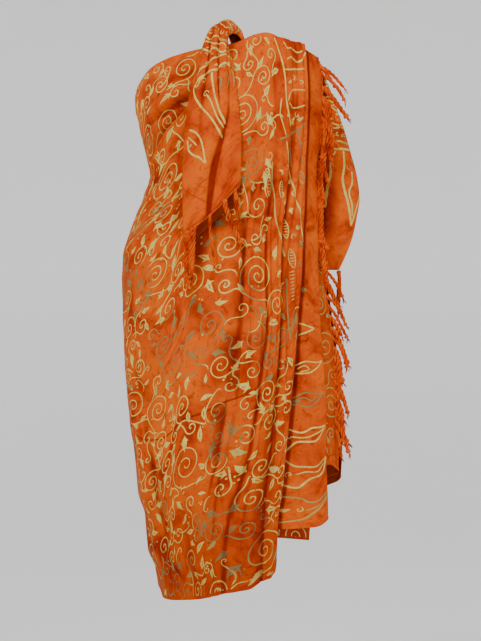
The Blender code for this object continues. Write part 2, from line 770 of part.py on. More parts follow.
def side_tail_fringe():
    """Tassels at the tip of the side tail."""
    tip = side_tail_grid()[-1]
    x, z = tip[:, 0].max(), tip[0, 2] - SEAM_GAP
    y = SIDE_TAIL_Y + np.array(SIDE_STRIP)
    line = np.stack([x + 0 * y, y, z + 0 * y], axis=1)
    facing = np.tile(np.array([1.0, 0.0, 0.0]), (len(y), 1))
    return hem_fringe("fringe_tail_side", line, facing, SIDE_CELLS, SIDE_STRAND_LENGTHS)


def main():
    for thing in list(bpy.data.objects):
        bpy.data.objects.remove(thing, do_unlink=True)
    under_wrap()
    outer_wrap()
    panel = end_panel()
    turned = end_return()
    under_corner()
    tail = tail_front()
    tail_back()
    side_tail()
    edge_fringe("fringe_upper", panel, UPPER_FRINGE, UPPER_SLANT, UPPER_SPLAY)
    edge_fringe("fringe_lower", turned, LOWER_FRINGE, LOWER_SLANT, LOWER_SPLAY)
    tail_fringe(tail)
    side_tail_fringe()


main()
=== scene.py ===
"""Looks of the sarong: one batik cloth with fringed ends, wound round the body and worn strapless.

A place on the wound cloth is given by its turn, in degrees from the middle of the front towards +X,
by its height z in metres, and by its lift off the outer turn. The tables of edges, folds and creases
are those of the part's source. Those of wrinkles, shade and print belong to the looks alone.
"""

import math
import random

import bpy
import numpy as np
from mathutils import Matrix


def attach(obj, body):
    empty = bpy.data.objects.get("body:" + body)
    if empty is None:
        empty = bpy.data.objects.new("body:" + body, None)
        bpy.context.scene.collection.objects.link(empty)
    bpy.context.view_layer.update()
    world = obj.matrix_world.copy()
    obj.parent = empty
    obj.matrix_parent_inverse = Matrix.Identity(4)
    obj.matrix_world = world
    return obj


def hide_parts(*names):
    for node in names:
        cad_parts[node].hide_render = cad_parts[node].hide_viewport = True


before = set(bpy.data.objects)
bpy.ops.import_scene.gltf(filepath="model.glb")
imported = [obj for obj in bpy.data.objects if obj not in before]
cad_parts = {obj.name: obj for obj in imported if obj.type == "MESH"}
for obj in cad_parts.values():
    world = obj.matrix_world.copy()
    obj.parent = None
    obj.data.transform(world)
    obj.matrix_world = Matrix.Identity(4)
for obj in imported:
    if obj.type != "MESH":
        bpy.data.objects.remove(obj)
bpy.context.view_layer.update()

# Sizes of the cloth, as in the part's source
SEAM_GAP = 0.0003
UNDER_LIFT = -0.0066
TUCKED_LIFT = -0.0030
PANEL_LIFT = -0.0005
PLAN_POWER = 2.25
METRES_PER_TURN = 0.0026
COVERED_FADE = 0.02
SHELL = 0.0007
HEM_ROLL = 0.0005
HEM_ROLL_REACH = (0.0050, 0.0036)
# Distances of the first rows from a hem, close together so that its roll is round
HEM_ROWS = np.array([0, 0.0012, 0.0034, 0.0046])

# Half sizes of the outer turn of cloth on a general figure: z, left, right, front, back
FORM = (
    (0.120, 0.146, 0.148, 0.084, 0.084),
    (0.060, 0.164, 0.161, 0.104, 0.096),
    (0.000, 0.174, 0.163, 0.128, 0.102),
    (-0.050, 0.168, 0.162, 0.131, 0.100),
    (-0.096, 0.157, 0.160, 0.126, 0.092),
    (-0.135, 0.149, 0.158, 0.120, 0.086),
    (-0.170, 0.154, 0.158, 0.118, 0.090),
    (-0.205, 0.169, 0.160, 0.119, 0.098),
    (-0.277, 0.191, 0.164, 0.122, 0.117),
    (-0.360, 0.189, 0.176, 0.122, 0.127),
    (-0.450, 0.186, 0.188, 0.119, 0.122),
    (-0.550, 0.177, 0.194, 0.113, 0.112),
    (-0.640, 0.165, 0.194, 0.107, 0.106),
    (-0.685, 0.161, 0.192, 0.104, 0.103),
    (-0.725, 0.149, 0.188, 0.101, 0.101),
    (-0.785, 0.143, 0.182, 0.098, 0.099),
    (-0.812, 0.132, 0.178, 0.096, 0.098),
    (-0.880, 0.122, 0.172, 0.094, 0.096),
)

# Top edge and hem of the under wrap: turn, z
UNDER_TOP = (
    (-180, 0.020),
    (-120, -0.004),
    (-92, -0.002),
    (-74, 0.014),
    (-56, 0.047),
    (-41, 0.058),
    (-26, 0.067),
    (-12, 0.074),
    (2, 0.078),
    (12, 0.093),
    (19, 0.097),
    (29, 0.089),
    (45, 0.081),
    (66, 0.065),
    (90, 0.050),
    (130, 0.028),
    (180, 0.020),
)
UNDER_HEM = (
    (-180, -0.700),
    (-90, -0.730),
    (0, -0.705),
    (40, -0.680),
    (60, -0.632),
    (75, -0.643),
    (110, -0.662),
    (180, -0.700),
)

# Top edge and hem of the outer wrap: turn, z
OUTER_TOP = (
    (-280, 0.052),
    (-215, 0.034),
    (-190, 0.010),
    (-165, -0.040),
    (-140, -0.105),
    (-110, -0.163),
    (-90, -0.177),
    (-71, -0.157),
    (-57, -0.118),
    (-48, -0.099),
    (-36, -0.070),
    (-28, -0.053),
    (-22, -0.038),
    (-17, -0.014),
    (-11, 0.030),
    (-5, 0.072),
    (2, 0.081),
    (12, 0.096),
    (19, 0.100),
    (29, 0.092),
    (50, 0.081),
)
OUTER_HEM = (
    (-280, -0.655),
    (-220, -0.700),
    (-180, -0.760),
    (-130, -0.812),
    (-90, -0.840),
    (-75, -0.850),
    (-66, -0.862),
    (-45, -0.861),
    (-27, -0.858),
    (-7, -0.847),
    (8, -0.836),
    (13, -0.826),
    (17, -0.819),
    (20, -0.809),
    (21.5, -0.790),
)

# Lines down the bundle of folds, as turns: z, right edge, first valley, second valley, where it ends
BUNDLE = (
    (0.090, 48.5, 37.0, 27.0, 17.0),
    (-0.149, 48.5, 34.0, 22.6, 10.0),
    (-0.235, 44.8, 29.0, 18.0, 6.0),
    (-0.288, 42.5, 27.5, 17.2, 5.0),
    (-0.385, 34.8, 24.4, 16.3, 3.0),
    (-0.479, 29.8, 20.8, 12.0, 0.0),
    (-0.547, 27.0, 18.3, 9.3, -3.0),
    (-0.616, 24.7, 16.5, 6.0, -7.0),
    (-0.660, 23.4, 14.5, 2.5, -11.0),
    (-0.724, 21.4, 13.4, -1.5, -15.0),
    (-0.790, 21.4, 13.2, -4.0, -18.0),
    (-0.860, 21.4, 13.8, -5.0, -20.0),
)
BUNDLE_LEAN = 0.8
BUNDLE_HEIGHTS = (0.0090, 0.0070, 0.0040)
BUNDLE_DETAIL = (26, 22, 18)
EDGE_LIFT = 0.0035
VALLEY_LIFT = 0.0008
FOLD_HEIGHTS = ((-0.50, 1.0), (0.0, 0.75))

OUTER_END = -278.0
OUTER_END_LIFT = -0.0038
SINK_START, SINK_LENGTH = -200.0, 60.0
WRAP_TOP, WRAP_HEM = 0.08, -0.82

# End panel, the strip turned back behind it, and the corner below it
PANEL_TOP, PANEL_HEM = 0.075, -0.735
PANEL_TUCK, RETURN_TUCK = 2.5, 3.0
PANEL_CREASE_START, PANEL_CREASE_GROWTH = 2.0, 4.0
PANEL_EDGE = (
    (0.080, 65.0),
    (0.000, 70.0),
    (-0.090, 67.5),
    (-0.220, 66.0),
    (-0.330, 59.0),
    (-0.397, 55.0),
    (-0.616, 54.6),
    (-0.690, 57.0),
    (-0.740, 61.0),
)
PANEL_ENDS = (
    (15, 0.090, -0.7375),
    (43, 0.079, -0.7375),
    (50, 0.075, -0.7360),
    (57, 0.070, -0.7296),
    (62, 0.066, -0.7230),
)
RETURN_EDGE = (
    (-0.270, 66.0),
    (-0.300, 68.5),
    (-0.350, 70.5),
    (-0.403, 70.5),
    (-0.470, 67.6),
    (-0.522, 66.1),
    (-0.600, 66.1),
    (-0.640, 67.0),
)
RETURN_TOP, RETURN_HEM = -0.275, -0.617
CORNER_TURNS = (19.5, 44.0)
CORNER_TOP = -0.640
CORNER_HEMS = (-0.751, -0.759)

# Creases: turn and z of both ends, spread above and below the line, height
UNDER_CREASES = (
    (-58, -0.050, -19, 0.002, 0.034, 0.006, 0.0045),
    (-64, -0.100, -24, -0.040, 0.030, 0.012, 0.0030),
    (-88, -0.030, -60, -0.010, 0.014, 0.010, 0.0020),
    (95, -0.020, 110, -0.420, 0.020, 0.020, 0.0015),
)
OUTER_CREASES = (
    (-80, -0.278, -27, -0.219, 0.016, 0.009, 0.0045),
    (2, -0.176, 24, -0.150, 0.008, 0.012, -0.0030),
    (6, 0.020, 13, 0.080, 0.007, 0.009, -0.0014),
    (-14, -0.130, -44, -0.500, 0.030, 0.030, 0.0028),
    (-30, -0.330, -8, -0.900, 0.022, 0.026, 0.0032),
    (-72, -0.400, -50, -0.900, 0.018, 0.024, 0.0050),
    (-58, -0.520, -36, -0.900, 0.014, 0.016, -0.0022),
    (-100, -0.240, -112, -0.900, 0.022, 0.030, 0.0050),
    (-128, -0.160, -122, -0.880, 0.018, 0.022, 0.0042),
    (-150, -0.200, -168, -0.860, 0.026, 0.020, 0.0046),
    (-188, -0.080, -178, -0.840, 0.020, 0.024, 0.0038),
    (-214, -0.120, -206, -0.800, 0.024, 0.018, 0.0044),
    (-240, -0.180, -234, -0.760, 0.018, 0.022, 0.0040),
    (-170, -0.120, -250, -0.040, 0.014, 0.010, 0.0034),
)
PANEL_CREASES = (
    (38, -0.361, 56, -0.399, 0.010, 0.010, 0.0022),
    (45, -0.234, 64, -0.226, 0.008, 0.008, -0.0016),
    (34, -0.480, 50, -0.760, 0.014, 0.014, 0.0020),
)

# Smaller creases that only the looks have
OUTER_WRINKLES = (
    (-26, -0.215, 10, -0.300, 0.012, 0.008, 0.0014),
    (-60, -0.300, -20, -0.262, 0.010, 0.006, 0.0013),
    (-44, -0.245, -12, -0.205, 0.010, 0.006, 0.0012),
    (-10, -0.060, 8, -0.130, 0.010, 0.008, 0.0012),
    (-6, -0.230, 14, -0.205, 0.006, 0.008, -0.0012),
    (-76, -0.455, -52, -0.415, 0.010, 0.007, 0.0012),
    (-68, -0.560, -30, -0.520, 0.012, 0.008, 0.0010),
    (-20, -0.420, 6, -0.560, 0.010, 0.010, 0.0015),
    (-36, -0.560, -16, -0.800, 0.012, 0.012, 0.0018),
    (-66, -0.640, -58, -0.860, 0.010, 0.012, 0.0022),
    (-14, -0.640, -22, -0.880, 0.009, 0.012, 0.0020),
    (2, -0.560, -6, -0.830, 0.008, 0.010, 0.0016),
    (-84, -0.287, -24, -0.214, 0.006, 0.0035, 0.0020),
    (-74, -0.205, -44, -0.150, 0.010, 0.005, 0.0022),
    (-78, -0.235, -50, -0.190, 0.008, 0.005, 0.0018),
    (-70, -0.330, -36, -0.300, 0.012, 0.006, 0.0016),
)
UNDER_WRINKLES = (
    (-80, 0.004, -44, 0.040, 0.008, 0.006, 0.0012),
    (-72, -0.062, -50, -0.020, 0.007, 0.005, 0.0014),
    (-52, 0.006, -22, 0.040, 0.010, 0.006, 0.0010),
    (-46, -0.072, -30, -0.034, 0.007, 0.005, 0.0012),
    (-80, -0.130, -60, -0.080, 0.007, 0.006, 0.0012),
    (-60, -0.052, -17, 0.004, 0.012, 0.0040, 0.0062),
    (-54, -0.062, -22, -0.014, 0.006, 0.0070, -0.0030),
    (-66, -0.084, -40, -0.044, 0.008, 0.0035, 0.0030),
)

# The corner that turns over the top edge: ridge, its facing, half the cloth's width, curl
LOOP = (
    (0.010, -0.0783, 0.050, 0.0, 1.0, 0.1, 0.024, 1.9),
    (0.012, -0.0678, 0.082, 0.1, 1.0, 0.2, 0.026, 2.2),
    (0.008, -0.068, 0.108, 0.3, 0.8, 0.7, 0.029, 2.4),
    (-0.003, -0.090, 0.119, 0.1, 0.1, 1.0, 0.031, 2.5),
    (-0.014, -0.114, 0.113, -0.1, -0.6, 0.8, 0.033, 2.4),
    (-0.022, -0.128, 0.094, 0.0, -1.0, 0.35, 0.036, 2.1),
    (-0.026, -0.134, 0.072, 0.0, -1.0, 0.1, 0.038, 1.7),
)
LOOP_STEPS = 7

# The tail below it: z, middle x, ridge y, half width of cloth, curl, place and depth of its valley
TAIL = (
    (0.055, -0.0265, -0.1385, 0.0385, 1.40, -0.35, 0.0030),
    (0.030, -0.0275, -0.1430, 0.0400, 1.15, -0.45, 0.0045),
    (0.000, -0.0290, -0.1486, 0.0445, 0.95, -0.50, 0.0060),
    (-0.040, -0.0300, -0.1510, 0.0485, 0.80, -0.48, 0.0075),
    (-0.085, -0.0310, -0.1495, 0.0510, 0.68, -0.31, 0.0085),
    (-0.149, -0.0330, -0.1430, 0.0515, 0.60, -0.03, 0.0085),
    (-0.210, -0.0330, -0.1420, 0.0500, 0.55, 0.10, 0.0080),
    (-0.245, -0.0330, -0.1420, 0.0480, 0.52, 0.14, 0.0070),
)
# Pleats that run down the tail from its loop: place, slope, where they fade, width, height
TAIL_FOLDS = (
    (-0.10, -0.30, 1.30, 0.070, -0.0046),
    (-0.62, 0.10, 1.15, 0.080, -0.0042),
    (-0.36, -0.15, 1.25, 0.110, 0.0026),
    (0.30, 0.42, 1.20, 0.120, -0.0020),
    (0.10, 0.15, 1.40, 0.110, 0.0020),
)
TAIL_TOP = 0.055
TAIL_ROWS = 62
TAIL_COLUMNS = 61
VALLEY_SPREAD = 0.16
TAIL_HEM = (
    (-1.0, -0.157),
    (-0.6, -0.176),
    (-0.2, -0.198),
    (0.2, -0.215),
    (0.6, -0.229),
    (1.0, -0.241),
)
TAIL_BACK_X = (-0.060, 0.012)
TAIL_BACK_TOP = -0.128
TAIL_BACK_HEMS = (-0.250, -0.186)
TAIL_BACK_LIFT = 0.0048

# The corner that hangs at the left side: z, outermost x, half its breadth from front to back
SIDE_TAIL = (
    (0.046, 0.1600, 0.016),
    (0.020, 0.1720, 0.021),
    (-0.018, 0.1860, 0.028),
    (-0.053, 0.1980, 0.034),
    (-0.088, 0.2080, 0.040),
    (-0.131, 0.2190, 0.045),
    (-0.175, 0.2240, 0.047),
    (-0.208, 0.2190, 0.044),
    (-0.236, 0.2120, 0.036),
    (-0.268, 0.2010, 0.022),
    (-0.287, 0.1930, 0.011),
    (-0.297, 0.1880, 0.006),
)
SIDE_TAIL_Y = 0.012
SIDE_TAIL_SEAT = -0.0017
SIDE_TAIL_ROUNDNESS = 0.7

# Fringe
STRIP_WIDTH = 0.004
STRAND_PITCH = 0.018
TAIL_STRANDS = (-0.79, -0.43, 0.05, 0.57, 0.68, 0.79, 0.87, 0.95)
TAIL_STRAND_LENGTHS = (0.048, 0.072, 0.092, 0.080, 0.092, 0.100, 0.094, 0.086)
# Cords, thickness and slant towards +X
TAIL_STRAND_KINDS = (
    (2, 0.70, 0.12),
    (1, 1.20, 0.34),
    (1, 0.72, 0.05),
    (1, 0.80, -0.06),
    (1, 1.00, -0.02),
    (1, 0.85, 0.04),
    (1, 1.00, 0.00),
    (1, 0.80, 0.05),
)
SIDE_STRIP_HALF = 0.0065
SIDE_STRAND_PLACES = (-0.0052, 0.0, 0.0052)
SIDE_STRAND_LENGTHS = (0.085, 0.062, 0.050)
UPPER_SLANT = ((0.07, 62.0), (0.02, 46.0), (-0.03, 28.0), (-0.08, 10.0), (-0.30, 5.0))
LOWER_SLANT = ((-0.28, 32.0), (-0.36, 28.0), (-0.44, 17.0), (-0.58, 24.0))
UPPER_SPLAY, LOWER_SPLAY = math.radians(68), math.radians(30)
UPPER_FRINGE = (0.060, -0.268, 3)
LOWER_FRINGE = (-0.285, -0.585, 5)
PLY_RADIUS = 0.00200
PLY_OFFSET = 0.00200
PLY_TWIST = 230.0
# Rings of a knot: place along it and width, both as shares of its size
KNOT_RINGS = ((-0.8, 0.25), (-0.55, 0.8), (-0.1, 1.0), (0.3, 0.95), (0.65, 0.65), (0.85, 0.2))
# Painted shade of the strands, scaled up to full in the grooves between plies, and its value on knots and
# strips, which gives a little painted light
GROOVE_SHADE, KNOT_SHADE = 1.9, 0.30
TUFT_LENGTH = 0.011
EDGE_STRAND_LENGTHS = (0.040, 0.066)
EDGE_STRAND_LEANS = (0.15, 0.5)
EDGE_STRAND_THICKNESSES = (0.85, 1.05, 1.2, 1.35)

# Soft unevenness of each cloth: height, (share of x, share of y, size, start) across, the same along, seed
RUMPLES = {
    "outer": (
        (0.0028, (0.8, 0.55, 0.075, 7), (-0.55, 0.8, 0.16, 30), 11),
        (0.0013, (0.7, 0.7, 0.030, 3), (-1, 1, 0.055, 21), 12),
    ),
    "outer_fine": ((0.00030, (1, 0, 0.012, 90), (0, 1, 0.014, 90), 13),),
    "under": (
        (0.0020, (0.8, -0.6, 0.05, 7), (0.5, 1, 0.10, 30), 21),
        (0.0008, (1, 0, 0.02, 9), (0, 1, 0.024, 9), 22),
    ),
    "panel": (
        (0.0010, (1, 0, 0.035, 7), (0, 1, 0.09, 30), 31),
        (0.0004, (1, 0, 0.016, 7), (0, 1, 0.03, 30), 32),
    ),
    "return": ((0.0005, (1, 0, 9, 40), (0, 1, 0.03, 40), 41),),
    "corner": ((0.0005, (1, 0, 9, 40), (0, 1, 0.03, 40), 51),),
    "back": ((0.0009, (1, 0, 0.018, 40), (0, 1, 0.05, 40), 71),),
}

# Painted fold shade: rows and columns over which a fold is looked for, the depth that makes its painted
# shade full, and the value of even cloth
FOLD_REACH = (4, 8)
FOLD_DEPTH = 0.0016
EVEN_FOLD = 0.44
# Painted shade: how far it reaches above the outer turn's top edge, and its strength near the hem
EDGE_SHADE = 0.030
HEM_SHADE = 0.46
# How flat the bundle's folds lie near the top edge, fold by fold, and the heights between which they do
TOP_SMOOTH = (0.0, 0.75, 1.0, 0.8)
TOP_SMOOTH_SPAN = (-0.20, -0.06)
# How far shade reaches below the turned-over corner, by share of its width from the left
TAIL_SHADE = (
    (0.00, 0.012),
    (0.14, 0.026),
    (0.21, 0.076),
    (0.34, 0.082),
    (0.42, 0.060),
    (0.50, 0.034),
    (0.80, 0.032),
    (1.00, 0.026),
)

# Print: its lift off the cloth's middle, its usual line, and the size of its dim patches
PRINT_LIFT = 0.00056
LINE = 0.0020
LINE_STEP = 0.0024
DIM_PATCH = 0.065
BRIGHT_TOP = (0.08, 0.18)
# A leaf's half width and its slit, by share of its length, and the widths along a lobe and over a dot
LEAF_OUTLINE = ((0, 0.04), (0.1, 0.34), (0.3, 0.92), (0.45, 1.0), (0.7, 0.58), (0.88, 0.22), (1, 0.0))
LEAF_SLIT = ((0, 0), (0.25, 0), (0.3, 1), (0.62, 1), (0.7, 0), (1, 0))
LOBE_WIDTHS = np.array([0.42, 0.40, 0.30, 0.16, 0.02])
DOT_WIDTHS = np.array([0.3, 0.85, 1.0, 0.85, 0.3])
# Curls of the field, the largest first: radius, share of the tries. Then gaps between its parts
SCROLL_SIZES = ((0.031, 0.09), (0.0205, 0.9), (0.0130, 5.0))
SCROLL_GAP, LEAF_GAP, DOT_GAP = 0.0030, 0.0205, 0.011

# Pressed storage creases in a cloth's flat metres: height, slope, bend, start, end, strength of the bump and
# of the painted shade along it
OUTER_PRESSED = ((-0.4645, -0.733, 1.59, 0.085, 0.345, 0.8),)
PRESSED_WIDTH = 0.0013
TAIL_PRESSED = ((-0.4607, 1.14, 0.0, 0.049, 0.093, 0.36), (-0.3462, -0.276, 0.0, 0.043, 0.072, 0.26))


def follow(rows, column=1):
    """A function that reads the column at any place, smooth through the rows without overshooting."""
    ordered = sorted(rows)
    places = np.array([row[0] for row in ordered], float)
    values = np.array([row[column] for row in ordered], float)
    steps = np.diff(places)
    slopes = np.diff(values) / steps
    tangents = np.concatenate([slopes[:1], np.zeros(len(slopes) - 1), slopes[-1:]])
    same_way = slopes[:-1] * slopes[1:] > 0
    pairs = slopes[:-1] + slopes[1:]
    means = 2 * slopes[:-1] * slopes[1:] / np.where(same_way, pairs, 1)
    tangents[1:-1] = np.where(same_way, means, 0)

    def read(at):
        held = np.clip(np.asarray(at, float), places[0], places[-1])
        k = np.clip(np.searchsorted(places, held, side="right") - 1, 0, len(steps) - 1)
        t = (held - places[k]) / steps[k]
        start = (1 + 2 * t) * (1 - t) ** 2 * values[k] + t * (1 - t) ** 2 * steps[k] * tangents[k]
        end = t * t * (3 - 2 * t) * values[k + 1] + t * t * (t - 1) * steps[k] * tangents[k + 1]
        return start + end

    return read


FORM_LEFT, FORM_RIGHT, FORM_FRONT, FORM_BACK = (follow(FORM, column) for column in (1, 2, 3, 4))


def wound(turn, z, lift):
    """Points of the wound cloth."""
    angle = np.radians(turn)
    side, ahead = np.sin(angle), np.cos(angle)
    across = np.where(side > 0, FORM_RIGHT(z), FORM_LEFT(z)) + lift
    deep = np.where(ahead > 0, FORM_FRONT(z), FORM_BACK(z)) + lift
    x = across * np.sign(side) * np.abs(side) ** (2 / PLAN_POWER)
    y = -deep * np.sign(ahead) * np.abs(ahead) ** (2 / PLAN_POWER)
    return np.stack([x, y, z + 0 * x], axis=-1)


def crease_lift(turn, z, creases):
    """How far the creases raise the cloth, each one along a straight line that fades at its ends."""
    lift = np.zeros(np.broadcast(turn, z).shape)
    for turn_a, z_a, turn_b, z_b, above, below, height in creases:
        line = np.array([(turn_b - turn_a) * METRES_PER_TURN, z_b - z_a])
        length = math.hypot(*line)
        line = line / length
        right = (turn - turn_a) * METRES_PER_TURN
        up = z - z_a
        along = (right * line[0] + up * line[1]) / length
        side = (up * line[0] - right * line[1]) * (1 if line[0] >= 0 else -1)
        spread = np.where(side > 0, above, below)
        fade = np.clip(along * (1 - along) * 6, 0, 1)
        lift = lift + height * fade * np.exp(-((side / spread) ** 2))
    return lift


def distances(path):
    """How far along the path each of its points lies."""
    return np.concatenate([[0], np.cumsum(np.linalg.norm(np.diff(path, axis=0), axis=1))])


def between(first, last, share):
    """From first at share 0 to last at share 1."""
    return first * (1 - share) + last * share


def rows_down(length, *stretches, top=True):
    """Shares down a cloth of about this length, with close rows at its hems."""
    edge = HEM_ROWS / length
    return np.concatenate([*([edge] if top else []), *stretches, 1 - edge[::-1]])[:, None]


def unit(vectors):
    """The vectors with a length of 1."""
    return vectors / np.maximum(np.linalg.norm(vectors, axis=-1, keepdims=True), 1e-9)


def rumple(x, y, seed):
    """Smooth noise from -1 to 1 on a plane, with one bump for each unit."""
    table = np.random.default_rng(seed).uniform(-1, 1, (64, 64))
    left, low = np.floor(x).astype(int), np.floor(y).astype(int)
    across, up = x - left, y - low
    across, up = across**2 * (3 - 2 * across), up**2 * (3 - 2 * up)
    corner = [table[(left + i) % 64, (low + j) % 64] for i in (0, 1) for j in (0, 1)]
    return between(between(*corner[:2], up), between(*corner[2:], up), across)


def rumpled(name, x, y):
    """The sum of a cloth's rows of soft unevenness."""
    total = 0
    for height, across, along, seed in RUMPLES[name]:
        places = [(x * of_x + y * of_y) / size + start for of_x, of_y, size, start in (across, along)]
        total = total + height * rumple(*places, seed)
    return total


def ramp(low, high, value):
    """A smooth rise from 0 at low to 1 at high."""
    share = np.clip((value - low) / (high - low), 0, 1)
    return share * share * (3 - 2 * share)


def softened(values, reaches, ring):
    """Running means of a grid over so many rows and columns to each side."""
    for axis, reach in enumerate(reaches):
        pads = [(0, 0)] * values.ndim
        pads[axis] = (reach, reach)
        padded = np.pad(values, pads, mode="wrap" if ring and axis == 1 else "edge")
        pads[axis] = (1, 0)
        total = np.pad(np.cumsum(padded, axis=axis), pads)
        window = 2 * reach + 1
        last, first = np.arange(window, total.shape[axis]), np.arange(total.shape[axis] - window)
        values = (np.take(total, last, axis=axis) - np.take(total, first, axis=axis)) / window
    return values


class Cloth:
    """A grid of cloth, rows down and columns across, with its flat size along both."""

    def __init__(self, name, grid, ring=False):
        self.name, self.grid, self.ring = name, grid, ring
        if ring:
            across = np.roll(grid, -1, axis=1) - np.roll(grid, 1, axis=1)
        else:
            across = np.gradient(grid, axis=1)
        normals = unit(np.cross(np.gradient(grid, axis=0), across))
        outwards = (grid * np.array([1, 1, 0]) * normals).sum(axis=2).mean()
        self.normals = normals if outwards > 0 else -normals
        self.loop, self.loop_normals = self.closed(grid), self.closed(self.normals)
        self.u, self.v = self.flat_places(1), self.flat_places(0)
        # fold: painted shade where the cloth lies hollower than its neighbours, and painted light where it
        # rides on a ridge
        hollow = self.closed(((softened(grid, FOLD_REACH, ring) - grid) * self.normals).sum(axis=2))
        self.fold = 0.5 + 0.5 * np.tanh(hollow / FOLD_DEPTH)[..., None]

    def closed(self, values):
        """The values, with the first column again after the last one of a ring."""
        return np.concatenate([values, values[:, :1]], axis=1) if self.ring else values

    def flat_places(self, axis):
        """Distance of each row or column from the first, along the cloth."""
        grid = self.loop if axis == 1 else self.grid
        steps = np.linalg.norm(np.diff(grid, axis=axis), axis=2).mean(axis=1 - axis)
        return np.concatenate([[0], np.cumsum(steps)])

    def paint_shade(self, shade):
        """Paints shade onto the cloth: painted shade as full as in a deep fold where shade nears 1."""
        shade = self.closed(0.5 + 0.5 * np.broadcast_to(shade, self.grid.shape[:2]))
        self.fold = np.maximum(self.fold, shade[..., None])

    def soothe(self, share):
        """Evens out the fold shade where share nears 1."""
        share = self.closed(np.broadcast_to(share, self.grid.shape[:2]))[..., None]
        self.fold = between(self.fold, EVEN_FOLD, share)

    def at(self, places, lift):
        """Points at flat places (u, v), lifted off the cloth, their painted fold shade, and which lie on it.
        """
        u, v = places[..., 0], places[..., 1]
        inside = (u >= 0) & (u <= self.u[-1]) & (v >= 0) & (v <= self.v[-1])
        column = np.clip(np.interp(u, self.u, np.arange(len(self.u))), 0, len(self.u) - 1.0001)
        row = np.clip(np.interp(v, self.v, np.arange(len(self.v))), 0, len(self.v) - 1.0001)
        i, j = row.astype(int), column.astype(int)
        down, along = (row - i)[..., None], (column - j)[..., None]

        def mixed(values):
            upper = between(values[i, j], values[i, j + 1], along)
            return between(upper, between(values[i + 1, j], values[i + 1, j + 1], along), down)

        return mixed(self.loop) + unit(mixed(self.loop_normals)) * lift, mixed(self.fold)[..., 0], inside


def new_mesh(name, points, faces, maps, face_materials=None, shades=None):
    """An object with smooth faces. Its UV maps and its shades (painted fold shade, print dimness) are given
    for every vertex.
    """
    mesh = bpy.data.meshes.new(name)
    mesh.vertices.add(len(points))
    mesh.vertices.foreach_set("co", np.asarray(points, np.float32).ravel())
    faces = np.asarray(faces, np.int32)
    mesh.loops.add(faces.size)
    mesh.loops.foreach_set("vertex_index", faces.ravel())
    mesh.polygons.add(len(faces))
    mesh.polygons.foreach_set("loop_start", np.arange(0, faces.size, 4, dtype=np.int32))
    mesh.polygons.foreach_set("loop_total", np.full(len(faces), 4, np.int32))
    if face_materials is not None:
        mesh.polygons.foreach_set("material_index", np.asarray(face_materials, np.int32))
    mesh.update(calc_edges=True)
    for label, coordinates in maps.items():
        layer = mesh.uv_layers.new(name=label, do_init=False)
        layer.uv.foreach_set("vector", np.asarray(coordinates, np.float32)[faces.ravel()].ravel())
    if shades is not None:
        layer = mesh.color_attributes.new("shades", "FLOAT_COLOR", "POINT")
        four = np.concatenate([shades, np.zeros((len(points), 1)), np.ones((len(points), 1))], axis=1)
        layer.data.foreach_set("color", np.asarray(four, np.float32).ravel())
    mesh.shade_smooth()
    thing = bpy.data.objects.new(name, mesh)
    bpy.context.scene.collection.objects.link(thing)
    return thing


def grid_faces(index):
    """The four-sided faces between the points of a grid, by their numbers."""
    return np.stack([index[:-1, :-1], index[1:, :-1], index[1:, 1:], index[:-1, 1:]], axis=-1)


def shell(cloth, face, reverse, node, hem):
    """The cloth as a thin closed shell that rides on the root. hem: whether top and bottom are rolled."""
    loop, normals = cloth.loop, cloth.loop_normals
    rows, columns = loop.shape[:2]
    far = np.full(rows, 9.0)
    from_edge = np.minimum(cloth.v if hem[0] else far, cloth.v[-1] - cloth.v if hem[1] else far)
    extra = HEM_ROLL * ramp(*HEM_ROLL_REACH, from_edge)[:, None, None]
    outer = loop + normals * (SHELL / 2 + extra)
    inner = loop - normals * (SHELL / 2)
    points = np.concatenate([outer.reshape(-1, 3), inner.reshape(-1, 3)])
    index = np.arange(rows * columns).reshape(rows, columns)
    quad = grid_faces(index).reshape(-1, 4)
    back = quad[:, ::-1] + rows * columns

    def rim(line):
        below = line + rows * columns
        return np.stack([line[:-1], line[1:], below[1:], below[:-1]], axis=-1)

    rims = [rim(index[0, :]), rim(index[-1, ::-1]), rim(index[::-1, 0]), rim(index[:, -1])]
    faces = np.concatenate([quad, back] + rims)
    middle = quad[len(quad) // 2]
    first = points[middle]
    facing = np.cross(first[1] - first[0], first[2] - first[1])
    if np.dot(facing, normals.reshape(-1, 3)[middle[0]]) < 0:
        faces = faces[:, ::-1]
    u, v = np.meshgrid(cloth.u, cloth.v)
    metres = np.stack([u, -v], axis=-1).reshape(-1, 2)
    span = np.array([cloth.u[-1], cloth.v[-1]])
    share = np.stack([u, v], axis=-1).reshape(-1, 2) / span
    bake = np.concatenate([share * (0.49, 1), share * (0.49, 1) + (0.51, 0)])
    # Painted fold shade, turned over for the reverse face
    fold = cloth.fold.ravel()
    kinds = np.concatenate([np.zeros(len(quad)), np.ones(len(back)), np.zeros(sum(map(len, rims)))])
    piece = new_mesh(
        cloth.name,
        points,
        faces,
        {"OFBake": bake, "cloth": np.concatenate([metres, metres])},
        kinds,
        np.stack([np.concatenate([fold, 1 - fold]), np.zeros(2 * len(fold))], axis=1),
    )
    piece.data.materials.append(face)
    piece.data.materials.append(reverse)
    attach(piece, "root")
    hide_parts(node)
    print(f"{cloth.name}: flat {cloth.u[-1]:.3f} x {cloth.v[-1]:.3f}, {len(faces) * 2} triangles")
    return piece


